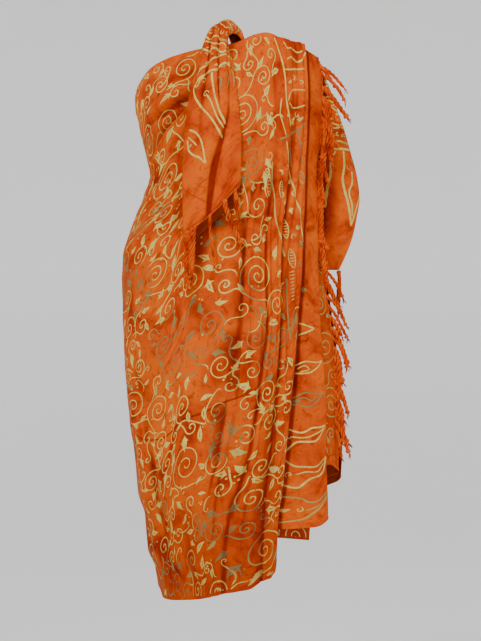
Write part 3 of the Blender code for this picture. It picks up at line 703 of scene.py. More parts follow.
class Print:
    """Drawn lines and leaves that lie on a cloth."""

    def __init__(self, cloth, seed):
        self.cloth, self.chance = cloth, random.Random(seed)
        self.points, self.faces, self.places, self.shades, self.count = [], [], [], [], 0
        self.patches = self.chance.randrange(10**6)

    def stroke(self, path, widths, columns=3, wobble=0.00035, dim=None):
        """A line along flat places, with a width at each. dim is how far its yellow is dulled."""
        path, widths = np.asarray(path, float), np.asarray(widths, float) + np.zeros(len(path))
        if wobble:
            seed = self.chance.randrange(10**6)
            shift = rumple(path[:, :1] * 90 + (0, 40), path[:, 1:] * 90 + (0, 40), seed)
            path = path + shift * wobble
            widths = widths * (1 + 0.22 * rumple(path[:, 0] * 160, path[:, 1] * 160, seed + 1))
        way = unit(np.gradient(path, axis=0))
        aside = np.stack([-way[:, 1], way[:, 0]], axis=1)
        shares = np.linspace(-0.5, 0.5, columns)[None, :, None]
        spots = path[:, None] + aside[:, None] * widths[:, None, None] * shares
        # folds: the painted fold shade of the cloth under the line
        points, folds, inside = self.cloth.at(spots, PRINT_LIFT)
        rows = len(path)
        index = np.arange(rows * columns).reshape(rows, columns)
        quads = grid_faces(index)[grid_faces(inside).all(axis=-1)]
        self.points.append(points.reshape(-1, 3))
        self.places.append(spots.reshape(-1, 2))
        if dim is None:
            patch = rumple(path[:, 0] / DIM_PATCH + 50, path[:, 1] / DIM_PATCH + 50, self.patches)
            dim = ramp(0.02, 0.26, patch + self.chance.uniform(-0.30, 0.30))
            dim = dim * (0.15 + 0.85 * ramp(*BRIGHT_TOP, path[:, 1]))
        dims = np.repeat(np.broadcast_to(dim, (rows,)), columns)
        self.shades.append(np.stack([folds.ravel(), dims], axis=1))
        self.faces.append(quads + self.count)
        self.count += rows * columns

    def line(self, path, width=LINE, taper=(1, 1), **more):
        """A stroke of even width with rounded or tapering ends, its path first spaced evenly."""
        path = np.asarray(path, float)
        along = distances(path)
        if along[-1] < 0.002:
            return
        at = np.linspace(0, along[-1], max(4, int(along[-1] / LINE_STEP)))
        even = np.stack([np.interp(at, along, path[:, k]) for k in (0, 1)], axis=1)
        first, last = (ramp(-0.0004, 0.0022 * t, gone) for t, gone in zip(taper, (at, at[-1] - at)))
        self.stroke(even, width * (0.25 + 0.75 * np.minimum(first, last)), **more)

    def curl(self, centre, radius, turns, start, hand, stem=()):
        """A spiral that opens from its middle to its radius, then runs on through the stem's points."""
        angle = np.linspace(0, turns * 2 * math.pi, int(22 * turns) + 4)
        share = angle / angle[-1]
        reach = radius * (0.07 + 0.93 * share**1.25)
        facing = start - hand * (angle[-1] - angle)
        path = np.stack([centre[0] + reach * np.cos(facing), centre[1] + reach * np.sin(facing)], axis=1)
        if len(stem):
            path = np.concatenate([path, np.asarray(stem)[1:]])
        self.line(path, LINE * self.chance.uniform(0.8, 1.05), taper=(0.6, 2.5))

    def leaf(self, centre, length, breadth, angle, lobes=True, dim=None):
        """A pointed leaf in two halves beside a short slit, often with a small lobe on both sides."""
        at = np.linspace(0, 1, 11)
        half = np.interp(at, *zip(*LEAF_OUTLINE)) * breadth / 2
        slit = np.interp(at, *zip(*LEAF_SLIT)) * breadth * self.chance.choice((0, 0.07))
        bend = self.chance.uniform(-0.13, 0.13)
        way = np.array([math.cos(angle), math.sin(angle)])
        aside = np.array([-way[1], way[0]])
        arch = (bend * length * np.sin(at * math.pi))[:, None] * aside
        spine = np.array(centre) + (at[:, None] - 0.5) * length * way + arch
        if dim is None:
            spot = spine[4:5]
            patch = float(rumple(spot[:, 0] / DIM_PATCH + 50, spot[:, 1] / DIM_PATCH + 50, self.patches)[0])
            dim = ramp(0.0, 0.2, patch + self.chance.uniform(-0.5, 0.5))
            dim = float(dim * ramp(*BRIGHT_TOP, spine[4, 1]))
        for side in (-1, 1):
            rugged = half * np.array([self.chance.uniform(0.84, 1.10) for _ in at])
            width = np.maximum(rugged - slit, 0.00002)
            self.stroke(spine + aside * side * (slit + width / 2)[:, None], width, wobble=0, dim=dim)
            if lobes:
                foot = spine[2]
                tip = foot + way * length * self.chance.uniform(0.10, 0.26)
                tip = tip + aside * side * breadth * self.chance.uniform(0.7, 1.0)
                self.stroke(np.linspace(foot, tip, 5), LOBE_WIDTHS * breadth, dim=dim)

    def dot(self, centre, size):
        """A small round spot."""
        angle = self.chance.uniform(0, math.pi)
        way = np.array([math.cos(angle), math.sin(angle)]) * size / 2
        path = np.linspace(np.array(centre) - way, np.array(centre) + way, 5)
        self.stroke(path, size * DOT_WIDTHS, wobble=0)

    def smooth(self, places, width=LINE, **more):
        """A line that runs smoothly through the places."""
        places = np.asarray(places, float)
        along = distances(places)
        at = np.linspace(0, along[-1], 40)
        path = np.stack([follow(list(zip(along, places[:, k])))(at) for k in (0, 1)], axis=1)
        self.line(path, width, **more)

    def build(self, name, material):
        """All that was drawn, as one piece that rides on the root."""
        cloth = self.cloth
        places = np.concatenate(self.places)
        span = np.array([cloth.u[-1], cloth.v[-1]])
        piece = new_mesh(
            name,
            np.concatenate(self.points),
            np.concatenate(self.faces),
            {"OFBake": np.clip(places / span, 0, 1), "cloth": places * (1, -1)},
            shades=np.concatenate(self.shades),
        )
        flip_to(piece, cloth)
        piece.data.materials.append(material)
        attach(piece, "root")
        print(f"{name}: {2 * len(piece.data.polygons)} triangles")
        return piece


def flip_to(piece, cloth):
    """Turns the faces of the print to the side that the cloth's normals show."""
    face = piece.data.polygons[len(piece.data.polygons) // 3]
    near = np.linalg.norm(cloth.loop - np.array(face.center), axis=2)
    spot = np.unravel_index(near.argmin(), near.shape)
    if np.dot(cloth.loop_normals[spot], np.array(face.normal)) < 0:
        piece.data.flip_normals()


def bezier(a, b, c, d, count=16):
    """Points of a curve from a to d that leaves towards b and arrives from c."""
    t = np.linspace(0, 1, count)[:, None]
    a, b, c, d = (np.asarray(p, float) for p in (a, b, c, d))
    return a * (1 - t) ** 3 + 3 * b * t * (1 - t) ** 2 + 3 * c * t * t * (1 - t) + d * t**3


def scatter(chance, box, sizes, gap, tries, inside):
    """Circles that stay clear of each other, the largest sizes first: (x, y, radius)."""
    found = []
    for size, share in sizes:
        for _ in range(int(tries * share)):
            radius = size * chance.uniform(0.85, 1.15)
            x, y = chance.uniform(box[0], box[2]), chance.uniform(box[1], box[3])
            clear = all((x - a) ** 2 + (y - b) ** 2 > (radius + r + gap) ** 2 for a, b, r in found)
            if clear and inside(x, y, radius):
                found.append((x, y, radius))
    return found


def draw_scrolls(art, box, seed, inside=lambda x, y, room: True):
    """A field of scrolling stems with curls, leaves and dots, where inside allows them in the box."""
    chance = random.Random(seed)
    area = (box[2] - box[0]) * (box[3] - box[1])
    circles = scatter(chance, box, SCROLL_SIZES, SCROLL_GAP, 900 * area + 60, inside)

    def somewhere():
        return chance.uniform(box[0], box[2]), chance.uniform(box[1], box[3])

    hands = [1 if chance.random() < 0.5 else -1 for _ in circles]
    linked = set()
    for k, (x, y, radius) in enumerate(circles):
        order = sorted(range(len(circles)), key=lambda m: math.dist(circles[m][:2], (x, y)))
        goal = next((m for m in order[1:5] if (m, k) not in linked and circles[m][2] >= 0.016), None)
        if goal is None:
            goal = order[min(1, len(order) - 1)]
        linked.add((k, goal))
        gx, gy, reach = circles[goal]
        heading = math.atan2(gy - y, gx - x)
        hand = hands[k]
        start = heading - hand * chance.uniform(0.9, 1.4)
        leave = np.array([x + radius * math.cos(start), y + radius * math.sin(start)])
        way = np.array([-math.sin(start), math.cos(start)]) * hand
        meet_angle = heading + math.pi + hand * chance.uniform(0.5, 1.0)
        meet = np.array([gx + reach * math.cos(meet_angle), gy + reach * math.sin(meet_angle)])
        arrive = np.array([-math.sin(meet_angle), math.cos(meet_angle)]) * hands[goal]
        span = np.linalg.norm(meet - leave)
        stem = bezier(leave, leave + way * span * 0.5, meet - arrive * span * 0.4, meet)
        turns = float(np.interp(radius, (0.0128, 0.020, 0.030), (1.5, 2.1, 2.6)))
        art.curl((x, y), radius, turns * chance.uniform(0.85, 1.1), start, hand, stem if span < 0.09 else ())
    leaves = []
    for _ in range(int(1500 * area)):
        x, y = somewhere()
        depth = min((math.dist((x, y), c[:2]) - c[2] for c in circles), default=9)
        if depth < 0.008 or not inside(x, y, 0.006):
            continue
        circles.append((x, y, 0.008))
        heading, hand = chance.uniform(0, 2 * math.pi), chance.choice((-1, 1))
        radius = chance.uniform(0.0048, 0.0075)
        leave = np.array([x + radius * math.cos(heading), y + radius * math.sin(heading)])
        way = np.array([-math.sin(heading), math.cos(heading)]) * hand
        side = np.array([way[1], -way[0]]) * chance.choice((-1, 1))
        reach = chance.uniform(0.016, 0.030)
        end = leave + way * reach + side * reach * 0.7
        stem = bezier(leave, leave + way * reach * 0.6, end - side * reach * 0.5, end)
        art.curl((x, y), radius, chance.uniform(0.8, 1.3), heading, hand, stem)
    for _ in range(int(6000 * area)):
        x, y = somewhere()
        if not inside(x, y, 0.006) or any((x - a) ** 2 + (y - b) ** 2 < LEAF_GAP**2 for a, b in leaves):
            continue
        depth = min((math.dist((x, y), c[:2]) / c[2] for c in circles), default=9)
        if depth < 0.9 or (depth < 1.12 and chance.random() < 0.7):
            continue
        leaves.append((x, y))
        length = chance.uniform(0.015, 0.026)
        breadth = length * chance.uniform(0.34, 0.44)
        art.leaf((x, y), length, breadth, chance.uniform(0, 2 * math.pi), chance.random() < 0.6)
    for _ in range(int(500 * area)):
        x, y = somewhere()
        if inside(x, y, 0.004) and all((x - a) ** 2 + (y - b) ** 2 > DOT_GAP**2 for a, b in leaves):
            for _ in range(chance.randint(1, 3)):
                spot = (x + chance.uniform(-0.006, 0.006), y + chance.uniform(-0.006, 0.006))
                art.dot(spot, chance.uniform(0.0022, 0.0036))


def outer_cloth():
    """The outer turn, finer than the solid and with its small wrinkles."""
    kinds, shares = [], []
    for k, count in enumerate(BUNDLE_DETAIL):
        kinds += [k] * count
        shares += list(np.arange(count) / count)
    plain = np.concatenate([np.linspace(0, 0.36, 84, endpoint=False), np.linspace(0.36, 1, 76)])
    kinds = np.array(kinds + [3] * len(plain))
    shares = np.concatenate([shares, plain])
    lines = [follow(BUNDLE, column) for column in (1, 2, 3, 4)]

    def turns(z):
        values = [line(z) for line in lines] + [OUTER_END + 0 * z]
        start = np.choose(kinds, [value + 0 * kinds for value in values[:4]])
        end = np.choose(kinds, [value + 0 * kinds for value in values[1:]])
        return between(start, end, shares)

    down = rows_down(0.9, np.linspace(0.009, 0.991, 196))
    top = follow(OUTER_TOP)(turns(np.full((1, 1), WRAP_TOP)))
    hem = follow(OUTER_HEM)(turns(np.full((1, 1), WRAP_HEM)))
    z = top + (hem - top) * down
    turn = turns(z)
    lift = crease_lift(turn, z, OUTER_CREASES) + crease_lift(turn, z, OUTER_WRINKLES)
    heights = np.array(BUNDLE_HEIGHTS + (0,))[kinds]
    floors = np.array([EDGE_LIFT, VALLEY_LIFT, VALLEY_LIFT, 0.0, 0.0])
    in_fold = kinds < 3
    floor = np.where(in_fold, between(floors[kinds], floors[kinds + 1], shares), 0)
    smooth = np.array(TOP_SMOOTH)[kinds] * ramp(*TOP_SMOOTH_SPAN, z)
    fold = floor + heights * np.sin(math.pi * shares**BUNDLE_LEAN) * (1 - 0.45 * smooth)
    lift += fold * follow(FOLD_HEIGHTS)(z)
    pleat = np.where(in_fold, np.sin(shares * math.pi * 2 * 2.5 + 9 * rumple(kinds + 0.3, z * 3.1, 4)), 0)
    lift += 0.0019 * pleat * np.sin(math.pi * shares) * (1 - smooth)
    lip = np.exp(-((down * 0.85 / 0.007) ** 2)) * ramp(-70, -56, turn) * ramp(-8, -16, turn)
    lift += 0.0030 * lip
    u = turn * METRES_PER_TURN
    calm = np.where(in_fold, 0.35, 1.0)
    lift += calm * rumpled("outer", u, z) + rumpled("outer_fine", u, z)
    flute = ramp(-0.52, -0.86, z) * calm
    lift += flute * 0.0016 * np.sin(turn * 0.21 + 2.4 * rumple(turn / 40 + 9, z * 4 + 5, 14))
    lift += OUTER_END_LIFT * np.clip((SINK_START - turn) / SINK_LENGTH, 0, 1)
    cloth = Cloth("outer_cloth", wound(turn, z, lift))
    # Painted shade: evened out where the folds lie flat near the top; painted along the bundle's right edge,
    # in its first valley low down, below the turned-over corner, and more and more towards the hem
    cloth.soothe(0.75 * smooth)
    cloth.paint_shade(np.where(kinds == 0, 0.95 * np.exp(-((shares / 0.10) ** 2)), 0))
    deep = np.where(kinds == 1, 0.75 * np.exp(-((shares / 0.45) ** 2)), 0)
    cloth.paint_shade(deep * ramp(-0.42, -0.55, z))
    cloth.paint_shade(under_tail(cloth.grid))
    cloth.paint_shade(HEM_SHADE * ramp(-0.50, -0.86, cloth.grid[..., 2]))
    return cloth


def under_tail(grid):
    """Shade on the cloth just below the hem of the turned-over corner."""
    hem = tail_cloth().grid[-1]
    hem = hem[np.argsort(hem[:, 0])]
    x, y, z = (grid[..., axis] for axis in range(3))
    depth = np.interp(x, hem[:, 0], hem[:, 2]) - z
    share = (x - hem[0, 0]) / (hem[-1, 0] - hem[0, 0])
    reach = np.interp(share, *zip(*TAIL_SHADE))
    near = ramp(-0.04, 0.02, share) * ramp(1.06, 0.98, share) * ramp(-0.012, 0.0, depth) * (y < 0)
    return 1.1 * near * np.exp(-((np.clip(depth, 0, 1) / reach) ** 3))


def under_cloth():
    """The inner turn, closed round the body."""
    front = np.linspace(-96, 4, 84, endpoint=False)
    right, left = np.linspace(-180, -96, 22, endpoint=False), np.linspace(4, 180, 56, endpoint=False)
    turn = np.concatenate([right, front, left])[None, :]
    top = follow(UNDER_TOP)(turn)
    down = rows_down(0.75, np.linspace(0.010, 0.32, 72, endpoint=False), np.linspace(0.32, 0.988, 40))
    z = top + (follow(UNDER_HEM)(turn) - top) * down
    outer_edge = follow(OUTER_TOP)(np.where(turn > OUTER_TOP[-1][0], turn - 360, turn))
    shows = np.clip((z - outer_edge) / COVERED_FADE, 0, 1)
    lift = crease_lift(turn, z, UNDER_CREASES) + crease_lift(turn, z, UNDER_WRINKLES)
    lift += rumpled("under", turn * METRES_PER_TURN, z)
    # beside: painted shade just above the outer turn's top edge, where the cloth is also pressed in a little
    above = np.clip(z - outer_edge, 0, 1)
    beside = np.exp(-above / EDGE_SHADE) * ramp(-78, -66, turn) * ramp(-10, -20, turn)
    cloth = Cloth("under_cloth", wound(turn, z, UNDER_LIFT + (lift - 0.0035 * beside) * shows), ring=True)
    cloth.paint_shade(beside * 0.98)
    # Painted shade behind the upper fringe, just past the panel's edge
    past = turn - follow(PANEL_EDGE)(z)
    cloth.paint_shade(ramp(-4, 0, past) * ramp(18, 9, past) * ramp(-0.30, -0.26, z))
    return cloth


def panel_cloth():
    """The end panel from under the folds to its turned edge."""
    share = np.linspace(0, 1, 44)[None, :]
    down = rows_down(0.8, np.linspace(0.010, 0.990, 190))
    left, right = follow(BUNDLE), follow(PANEL_EDGE)

    def across(z):
        return between(left(z) - PANEL_TUCK, right(z), share)

    top = follow(PANEL_ENDS, 1)(across(PANEL_TOP))
    z = top + (follow(PANEL_ENDS, 2)(across(PANEL_HEM)) - top) * down
    turn = across(z)
    clear = np.clip((turn - left(z) - PANEL_CREASE_START) / PANEL_CREASE_GROWTH, 0, 1)
    lift = crease_lift(turn, z, PANEL_CREASES) + rumpled("panel", turn * METRES_PER_TURN, z)
    cloth = Cloth("panel_cloth", wound(turn, z, PANEL_LIFT + lift * clear))
    # Painted shadow on the panel just past the bundle's edge
    covered = 0.6 + 3.6 * np.sin(np.radians(left(z)))
    cloth.paint_shade(np.exp(-((np.clip(turn - left(z) - covered, 0, 90) / 1.1) ** 2)))
    return cloth


def return_cloth():
    """The last strip of the end, turned round the side behind the panel's edge."""
    z = np.linspace(RETURN_TOP, RETURN_HEM, 110)[:, None]
    share = np.linspace(0, 1, 16)[None, :]
    turn = between(follow(PANEL_EDGE)(z) - RETURN_TUCK, follow(RETURN_EDGE)(z), share)
    lift = TUCKED_LIFT + rumpled("return", turn, z) * share
    return Cloth("return_cloth", wound(turn, z, lift))


def corner_cloth():
    """The corner of the inner turn below the panel's hem."""
    share = np.linspace(0, 1, 36)[None, :]
    turn, hem = between(*CORNER_TURNS, share), between(*CORNER_HEMS, share)
    down = rows_down(0.115, np.linspace(0, 0.93, 34), top=False)
    z = CORNER_TOP + (hem - CORNER_TOP) * down
    lift = TUCKED_LIFT + rumpled("corner", turn, z)
    return Cloth("corner_cloth", wound(turn + 0 * z, z, lift))


def tail_cloth():
    """The corner turned over the top edge: gathered at its loop, hanging below it."""
    places = np.linspace(-1, 1, TAIL_COLUMNS)
    count = (len(LOOP) - 1) * LOOP_STEPS + 1
    steps = np.linspace(0, len(LOOP) - 1, count)
    numbered = [(k, *row) for k, row in enumerate(LOOP)]
    values = np.stack([follow(numbered, column)(steps) for column in range(1, 9)], axis=1)
    ridges, facings = values[:, :3], unit(values[:, 3:6])
    across = unit(np.cross(unit(np.gradient(ridges, axis=0)), facings))
    rows = []
    for k in range(count):
        radius = values[k, 6] / values[k, 7]
        angle = places * values[k, 7]
        side = (radius * np.sin(angle))[:, None] * across[k]
        rows.append(ridges[k] + side - (radius * (1 - np.cos(angle)))[:, None] * facings[k])
    middle, ridge, half_width, curl, valley, depth = (follow(TAIL, k) for k in range(1, 7))
    hem = follow(TAIL_HEM)(places)
    for share in np.linspace(0, 1, TAIL_ROWS)[1:]:
        z = TAIL_TOP + (hem - TAIL_TOP) * share
        radius = half_width(z) / curl(z)
        angle = places * curl(z)
        fold = depth(z) * np.exp(-(((places - valley(z)) / VALLEY_SPREAD) ** 2))
        x = middle(z) - radius * np.sin(angle)
        y = ridge(z) + radius * (1 - np.cos(angle)) + fold
        rows.append(np.stack([x, y, z], axis=1))
    grid = np.stack(rows)
    plain = Cloth("tail_cloth", grid)
    down = np.arange(len(rows))[:, None] / count
    gather = np.exp(-(((down - 1.0) / 0.75) ** 2))
    pleats = np.sin(places[None, :] * 11 + 1.3 * np.sin(down * 2.2) + 0.6)
    lift = 0.0018 * gather * pleats * (1 - places[None, :] ** 8)
    for start, slope, fade, wide, height in TAIL_FOLDS:
        line = start + slope * (down - 0.9)
        shown = ramp(0.55, 0.85, down) * ramp(fade + 0.3, fade, down)
        lift = lift + height * shown * np.exp(-(((places - line) / wide) ** 2))
    lift = lift + 0.0009 * rumple(places[None, :] * 3 + 9, down * 3.2 + 9, 61) * ramp(0.6, 1.4, down)
    outward = np.where(plain.normals[-10, 30, 1] < 0, 1, -1)
    return Cloth("tail_cloth", grid + plain.normals * outward * lift[..., None])


def back_cloth():
    """The second layer of the tail, close over the outer turn."""
    steps = np.linspace(0, 1, 34)
    share = steps[None, :]
    hem = between(*TAIL_BACK_HEMS, share)
    z = TAIL_BACK_TOP + (hem - TAIL_BACK_TOP) * steps[:, None]
    x = between(*TAIL_BACK_X, share) + 0 * z
    lift = TAIL_BACK_LIFT + rumpled("back", x, z) * (1 - np.abs(2 * share - 1))
    half = np.where(x > 0, FORM_RIGHT(z), FORM_LEFT(z)) + lift
    turn = np.degrees(np.arcsin((np.abs(x) / half) ** (PLAN_POWER / 2))) * np.sign(x)
    return Cloth("back_cloth", wound(turn, z, lift))


def side_cloth():
    """The corner that hangs at the left side like a leaf."""
    z = np.linspace(SIDE_TAIL[0][0], SIDE_TAIL[-1][0], 96)[:, None]
    place = np.linspace(-1, 1, 60)[None, :]
    outermost, breadth = (follow(SIDE_TAIL, column)(z) for column in (1, 2))
    seat = FORM_RIGHT(z) + SIDE_TAIL_SEAT
    hump = np.cos(place * math.pi / 2) ** SIDE_TAIL_ROUNDNESS
    gather = ramp(-0.10, 0.04, z)
    ripple = 0.0016 * gather * np.sin(place * 9 + 1) + 0.0011 * rumple(place * 2.5 + 8, z / 0.05 + 30, 81)
    x = seat + (outermost - seat) * hump + ripple * (1 - np.abs(place)) ** 0.5 * ramp(-0.297, -0.26, z)
    y = SIDE_TAIL_Y + breadth * place
    cloth = Cloth("side_cloth", np.stack([x, y, z + 0 * x], axis=-1))
    # Painted shade along its front edge, behind the fringe
    cloth.paint_shade(np.exp(-(((place + 1) / 0.16) ** 2)) * ramp(-0.26, -0.20, z))
    return cloth


# Materials


class Nodes:
    """Short calls for building a material's node tree."""

    def __init__(self, name):
        self.material = bpy.data.materials.new(name)
        self.material.use_nodes = True
        self.tree = self.material.node_tree
        self.shader = self.tree.nodes["Principled BSDF"]

    def put(self, node, values):
        """Sets a node's inputs, by name or number, to values or to other nodes' outputs."""
        for key, value in values.items():
            if isinstance(value, bpy.types.NodeSocket):
                self.tree.links.new(value, node.inputs[key])
            else:
                node.inputs[key].default_value = (*value, 1) if isinstance(value, tuple) else value

    def add(self, kind, values=None, **settings):
        """A new node with these values as its inputs."""
        node = self.tree.nodes.new(kind)
        for key, value in settings.items():
            setattr(node, key, value)
        self.put(node, values or {})
        return node

    def math(self, operation, *values):
        return self.add("ShaderNodeMath", dict(enumerate(values)), operation=operation).outputs[0]

    def noise(self, vector, scale, detail=3.0, roughness=0.55, distortion=0.0):
        values = {"Vector": vector, "Scale": scale, "Detail": detail}
        values |= {"Roughness": roughness, "Distortion": distortion}
        return self.add("ShaderNodeTexNoise", values).outputs["Fac"]

    def ramp(self, value, stops):
        """The colours of the stops, by value."""
        node = self.add("ShaderNodeValToRGB", {"Fac": value})
        elements = node.color_ramp.elements
        while len(elements) < len(stops):
            elements.new(0.5)
        for element, (place, colour) in zip(elements, stops):
            element.position, element.color = place, (*colour, 1)
        return node.outputs["Color"]

    def fall(self, value, full, none):
        """1 up to the place full, and 0 from the place none on."""
        return self.ramp(value, ((full, WHITE), (none, BLACK)))

    def mix(self, share, a, b, blend="MIX"):
        """Colour a, with this share of colour b."""
        values = {0: share, 6: a, 7: b}
        return self.add("ShaderNodeMix", values, data_type="RGBA", blend_type=blend).outputs[2]

    def metres(self):
        """Flat places on the cloth, across and up."""
        uv = self.add("ShaderNodeUVMap", uv_map="cloth").outputs["UV"]
        return self.add("ShaderNodeMapping", {"Vector": uv}).outputs["Vector"]

    def shades(self):
        """The painted fold shade and the print's dimness stored with each vertex."""
        stored = self.add("ShaderNodeVertexColor", layer_name="shades").outputs["Color"]
        return self.add("ShaderNodeSeparateColor", {0: stored})

    def relief(self, parts, distance=0.001):
        """A bump from heights, each with its own share of the distance."""
        total = None
        for value, share in parts:
            scaled = self.math("MULTIPLY", value, share)
            total = scaled if total is None else self.math("ADD", total, scaled)
        bump = self.add("ShaderNodeBump", {"Strength": 1.0, "Distance": distance, "Height": total})
        self.put(self.shader, {"Normal": bump.outputs["Normal"]})


WHITE, BLACK = (1, 1, 1), (0, 0, 0)
LIGHT_ORANGE = (0.760, 0.116, 0.0008)
ORANGE = (0.620, 0.069, 0.0006)
DEEP_ORANGE = (0.360, 0.021, 0.0006)
RUST = (0.165, 0.008, 0.0008)
YELLOW = (0.640, 0.430, 0.055)
PALE_YELLOW = (0.760, 0.600, 0.150)
OLIVE = (0.195, 0.150, 0.066)
# Multipliers of the painted shade in folds and the painted light on ridges, then the sheen's tint
PAINTED_FOLD_SHADE, PAINTED_RIDGE_LIGHT, SHEEN_TINT = (0.32, 0.06, 0.07), (1.12, 1.12, 1.12), (1.0, 0.55, 0.25)
# Bumps of the cloth: scale, detail, roughness and distortion of a noise, its share. The print has two
CLOTH_BUMPS = (((24.0, 2.0, 0.5, 0.6), 2.4), ((55.0, 3.0, 0.5, 0.4), 1.2), ((170.0, 2.0, 0.5, 0.3), 0.30))
WEAVE_SCALE, WEAVE_SHARE = 900.0, 0.055


def weave(nodes, vector):
    """Heights of fine warp and weft threads."""
    heights = []
    for way in ("X", "Y"):
        values = {"Vector": vector, "Scale": WEAVE_SCALE, "Distortion": 1.5, "Detail": 1.0}
        node = nodes.add("ShaderNodeTexWave", values, wave_type="BANDS", bands_direction=way)
        heights.append(node.outputs["Fac"])
    return nodes.math("ADD", *heights)


def cloth_bumps(nodes, vector, count):
    """The weave and the first few noises of the cloth's bump, with their shares."""
    noises = [(nodes.noise(vector, *settings), share) for settings, share in CLOTH_BUMPS[:count]]
    return [(weave(nodes, vector), WEAVE_SHARE)] + noises


def cloth_colours(nodes, vector, deep):
    """Dyed orange with darker mottling in soft patches and small veins."""
    broad = nodes.noise(vector, 13.0, 4.0, 0.62, 0.9)
    fine = nodes.noise(vector, 38.0, 5.0, 0.68, 1.6)
    patches = nodes.ramp(broad, ((0.34, DEEP_ORANGE), (0.47, ORANGE), (0.62, LIGHT_ORANGE)))
    veins = nodes.fall(fine, 0.33, 0.47)
    colour = nodes.mix(nodes.math("MULTIPLY", veins, 0.75), patches, DEEP_ORANGE)
    spots = nodes.fall(nodes.noise(vector, 62.0, 4.0, 0.7, 2.4), 0.30, 0.39)
    colour = nodes.mix(nodes.math("MULTIPLY", spots, 0.75), colour, RUST)
    # deep: a share of painted shade, towards rust
    if deep:
        colour = nodes.mix(deep, colour, RUST)
    return colour


def paint_fold_shade_and_light(nodes, colour, valley=0.88, ridge=0.30):
    """Painted shade down in the folds and painted light along their ridges."""
    fold = nodes.shades().outputs["Red"]
    dark = nodes.math("MULTIPLY", nodes.ramp(fold, ((0.54, BLACK), (0.92, WHITE))), valley)
    light = nodes.math("MULTIPLY", nodes.fall(fold, 0.12, 0.46), ridge)
    colour = nodes.mix(light, colour, PAINTED_RIDGE_LIGHT, "MULTIPLY")
    return nodes.mix(dark, colour, PAINTED_FOLD_SHADE, "MULTIPLY")


def finish_cloth(nodes, colour, sheen=0.012):
    """The colour, and the dull surface that all parts of the cloth have."""
    values = {"Base Color": colour, "Roughness": 0.78, "Specular IOR Level": 0.08}
    values |= {"Sheen Weight": sheen, "Sheen Roughness": 0.45, "Sheen Tint": SHEEN_TINT}
    nodes.put(nodes.shader, values)


def cloth_material(name, deep=0.0, pressed=()):
    """Dyed cloth, deepened by a share of painted shade where it lies in shade, with its pressed creases,
    each a bump with painted shade along it.
    """
    nodes = Nodes(name)
    vector = nodes.metres()
    colour = cloth_colours(nodes, vector, deep)
    parts = cloth_bumps(nodes, vector, 3)
    for height, slope, bend, start, end, strength in pressed:
        u, v, _ = nodes.add("ShaderNodeSeparateXYZ", {0: vector}).outputs
        line = nodes.math("MULTIPLY_ADD", u, slope, height)
        line = nodes.math("ADD", line, nodes.math("MULTIPLY", nodes.math("MULTIPLY", u, u), bend))
        line = nodes.math("ADD", line, nodes.math("MULTIPLY", nodes.noise(vector, 16.0, 1.0), 0.004))
        away = nodes.math("DIVIDE", nodes.math("SUBTRACT", v, line), PRESSED_WIDTH)
        ridge = nodes.math("POWER", 2.718, nodes.math("MULTIPLY", nodes.math("MULTIPLY", away, away), -1.0))
        reach = nodes.math("MULTIPLY", nodes.math("LESS_THAN", u, end), nodes.math("GREATER_THAN", u, start))
        ridge = nodes.math("MULTIPLY", ridge, reach)
        parts.append((ridge, -1.625 * strength))
        # Painted shade: the colour deepens towards rust along the crease
        colour = nodes.mix(nodes.math("MULTIPLY", ridge, strength), colour, RUST)
    finish_cloth(nodes, paint_fold_shade_and_light(nodes, colour))
    nodes.relief(parts)
    return nodes.material


def print_material(name, dulled=0.0):
    """Pale yellow print, dulled to olive grey where its lines are dim, and at least by the share dulled,
    which is painted shade on pieces that lie in shade. It has specks of the orange and painted shade in its
    folds.
    """
    nodes = Nodes(name)
    vector = nodes.metres()
    fine = nodes.noise(vector, 120.0, 3.0, 0.6, 0.5)
    yellow = nodes.ramp(fine, ((0.30, YELLOW), (0.62, PALE_YELLOW)))
    # dulled: a floor of dimness, painted shade for the print on shaded pieces
    dim = nodes.math("MAXIMUM", nodes.shades().outputs["Green"], dulled)
    worn = nodes.math("MULTIPLY_ADD", nodes.noise(vector, 60.0, 2.0, 0.6), 0.5, 0.62)
    colour = nodes.mix(nodes.math("MULTIPLY", dim, worn), yellow, OLIVE)
    stain = nodes.fall(nodes.noise(vector, 210.0, 3.0, 0.7, 1.0), 0.30, 0.42)
    colour = nodes.mix(nodes.math("MULTIPLY", stain, 0.75), colour, ORANGE)
    finish_cloth(nodes, paint_fold_shade_and_light(nodes, colour, 0.60, 0.0))
    nodes.relief(cloth_bumps(nodes, vector, 2))
    return nodes.material


def strand_material(name):
    """Twisted threads in the cloth's oranges, with painted shade between the plies and painted light on
    their outsides.
    """
    nodes = Nodes(name)
    place = nodes.add("ShaderNodeTexCoord").outputs["Object"]
    broad = nodes.noise(place, 60.0, 3.0, 0.6, 0.5)
    colour = nodes.ramp(broad, ((0.32, DEEP_ORANGE), (0.50, ORANGE), (0.70, LIGHT_ORANGE)))
    finish_cloth(nodes, paint_fold_shade_and_light(nodes, colour, 0.90, 0.60), 0.03)
    fuzz = nodes.noise(place, 2400.0, 2.0, 0.6)
    nodes.relief([(fuzz, 0.5), (nodes.noise(place, 700.0, 2.0, 0.5), 0.4)], 0.0006)
    return nodes.material


# Fringe


def add_tube(faces, base, rings, sides):
    """Adds the faces of a closed tube round rings of points, with fans of four-sided faces at its ends."""
    end = base + (rings - 1) * sides
    for low in range(base, end, sides):
        for side in range(sides):
            after = (side + 1) % sides
            faces.append((low + side, low + after, low + sides + after, low + sides + side))
    for k in range(1, sides - 2, 2):
        faces.append((base, base + k + 2, base + k + 1, base + k))
        faces.append((end, end + k, end + k + 1, end + k + 2))


def spokes_of(way):
    """Two directions at right angles to the way and to each other."""
    first = unit(np.cross(way, np.array([0.31, 0.72, 0.61])))
    return first, np.cross(way, first)


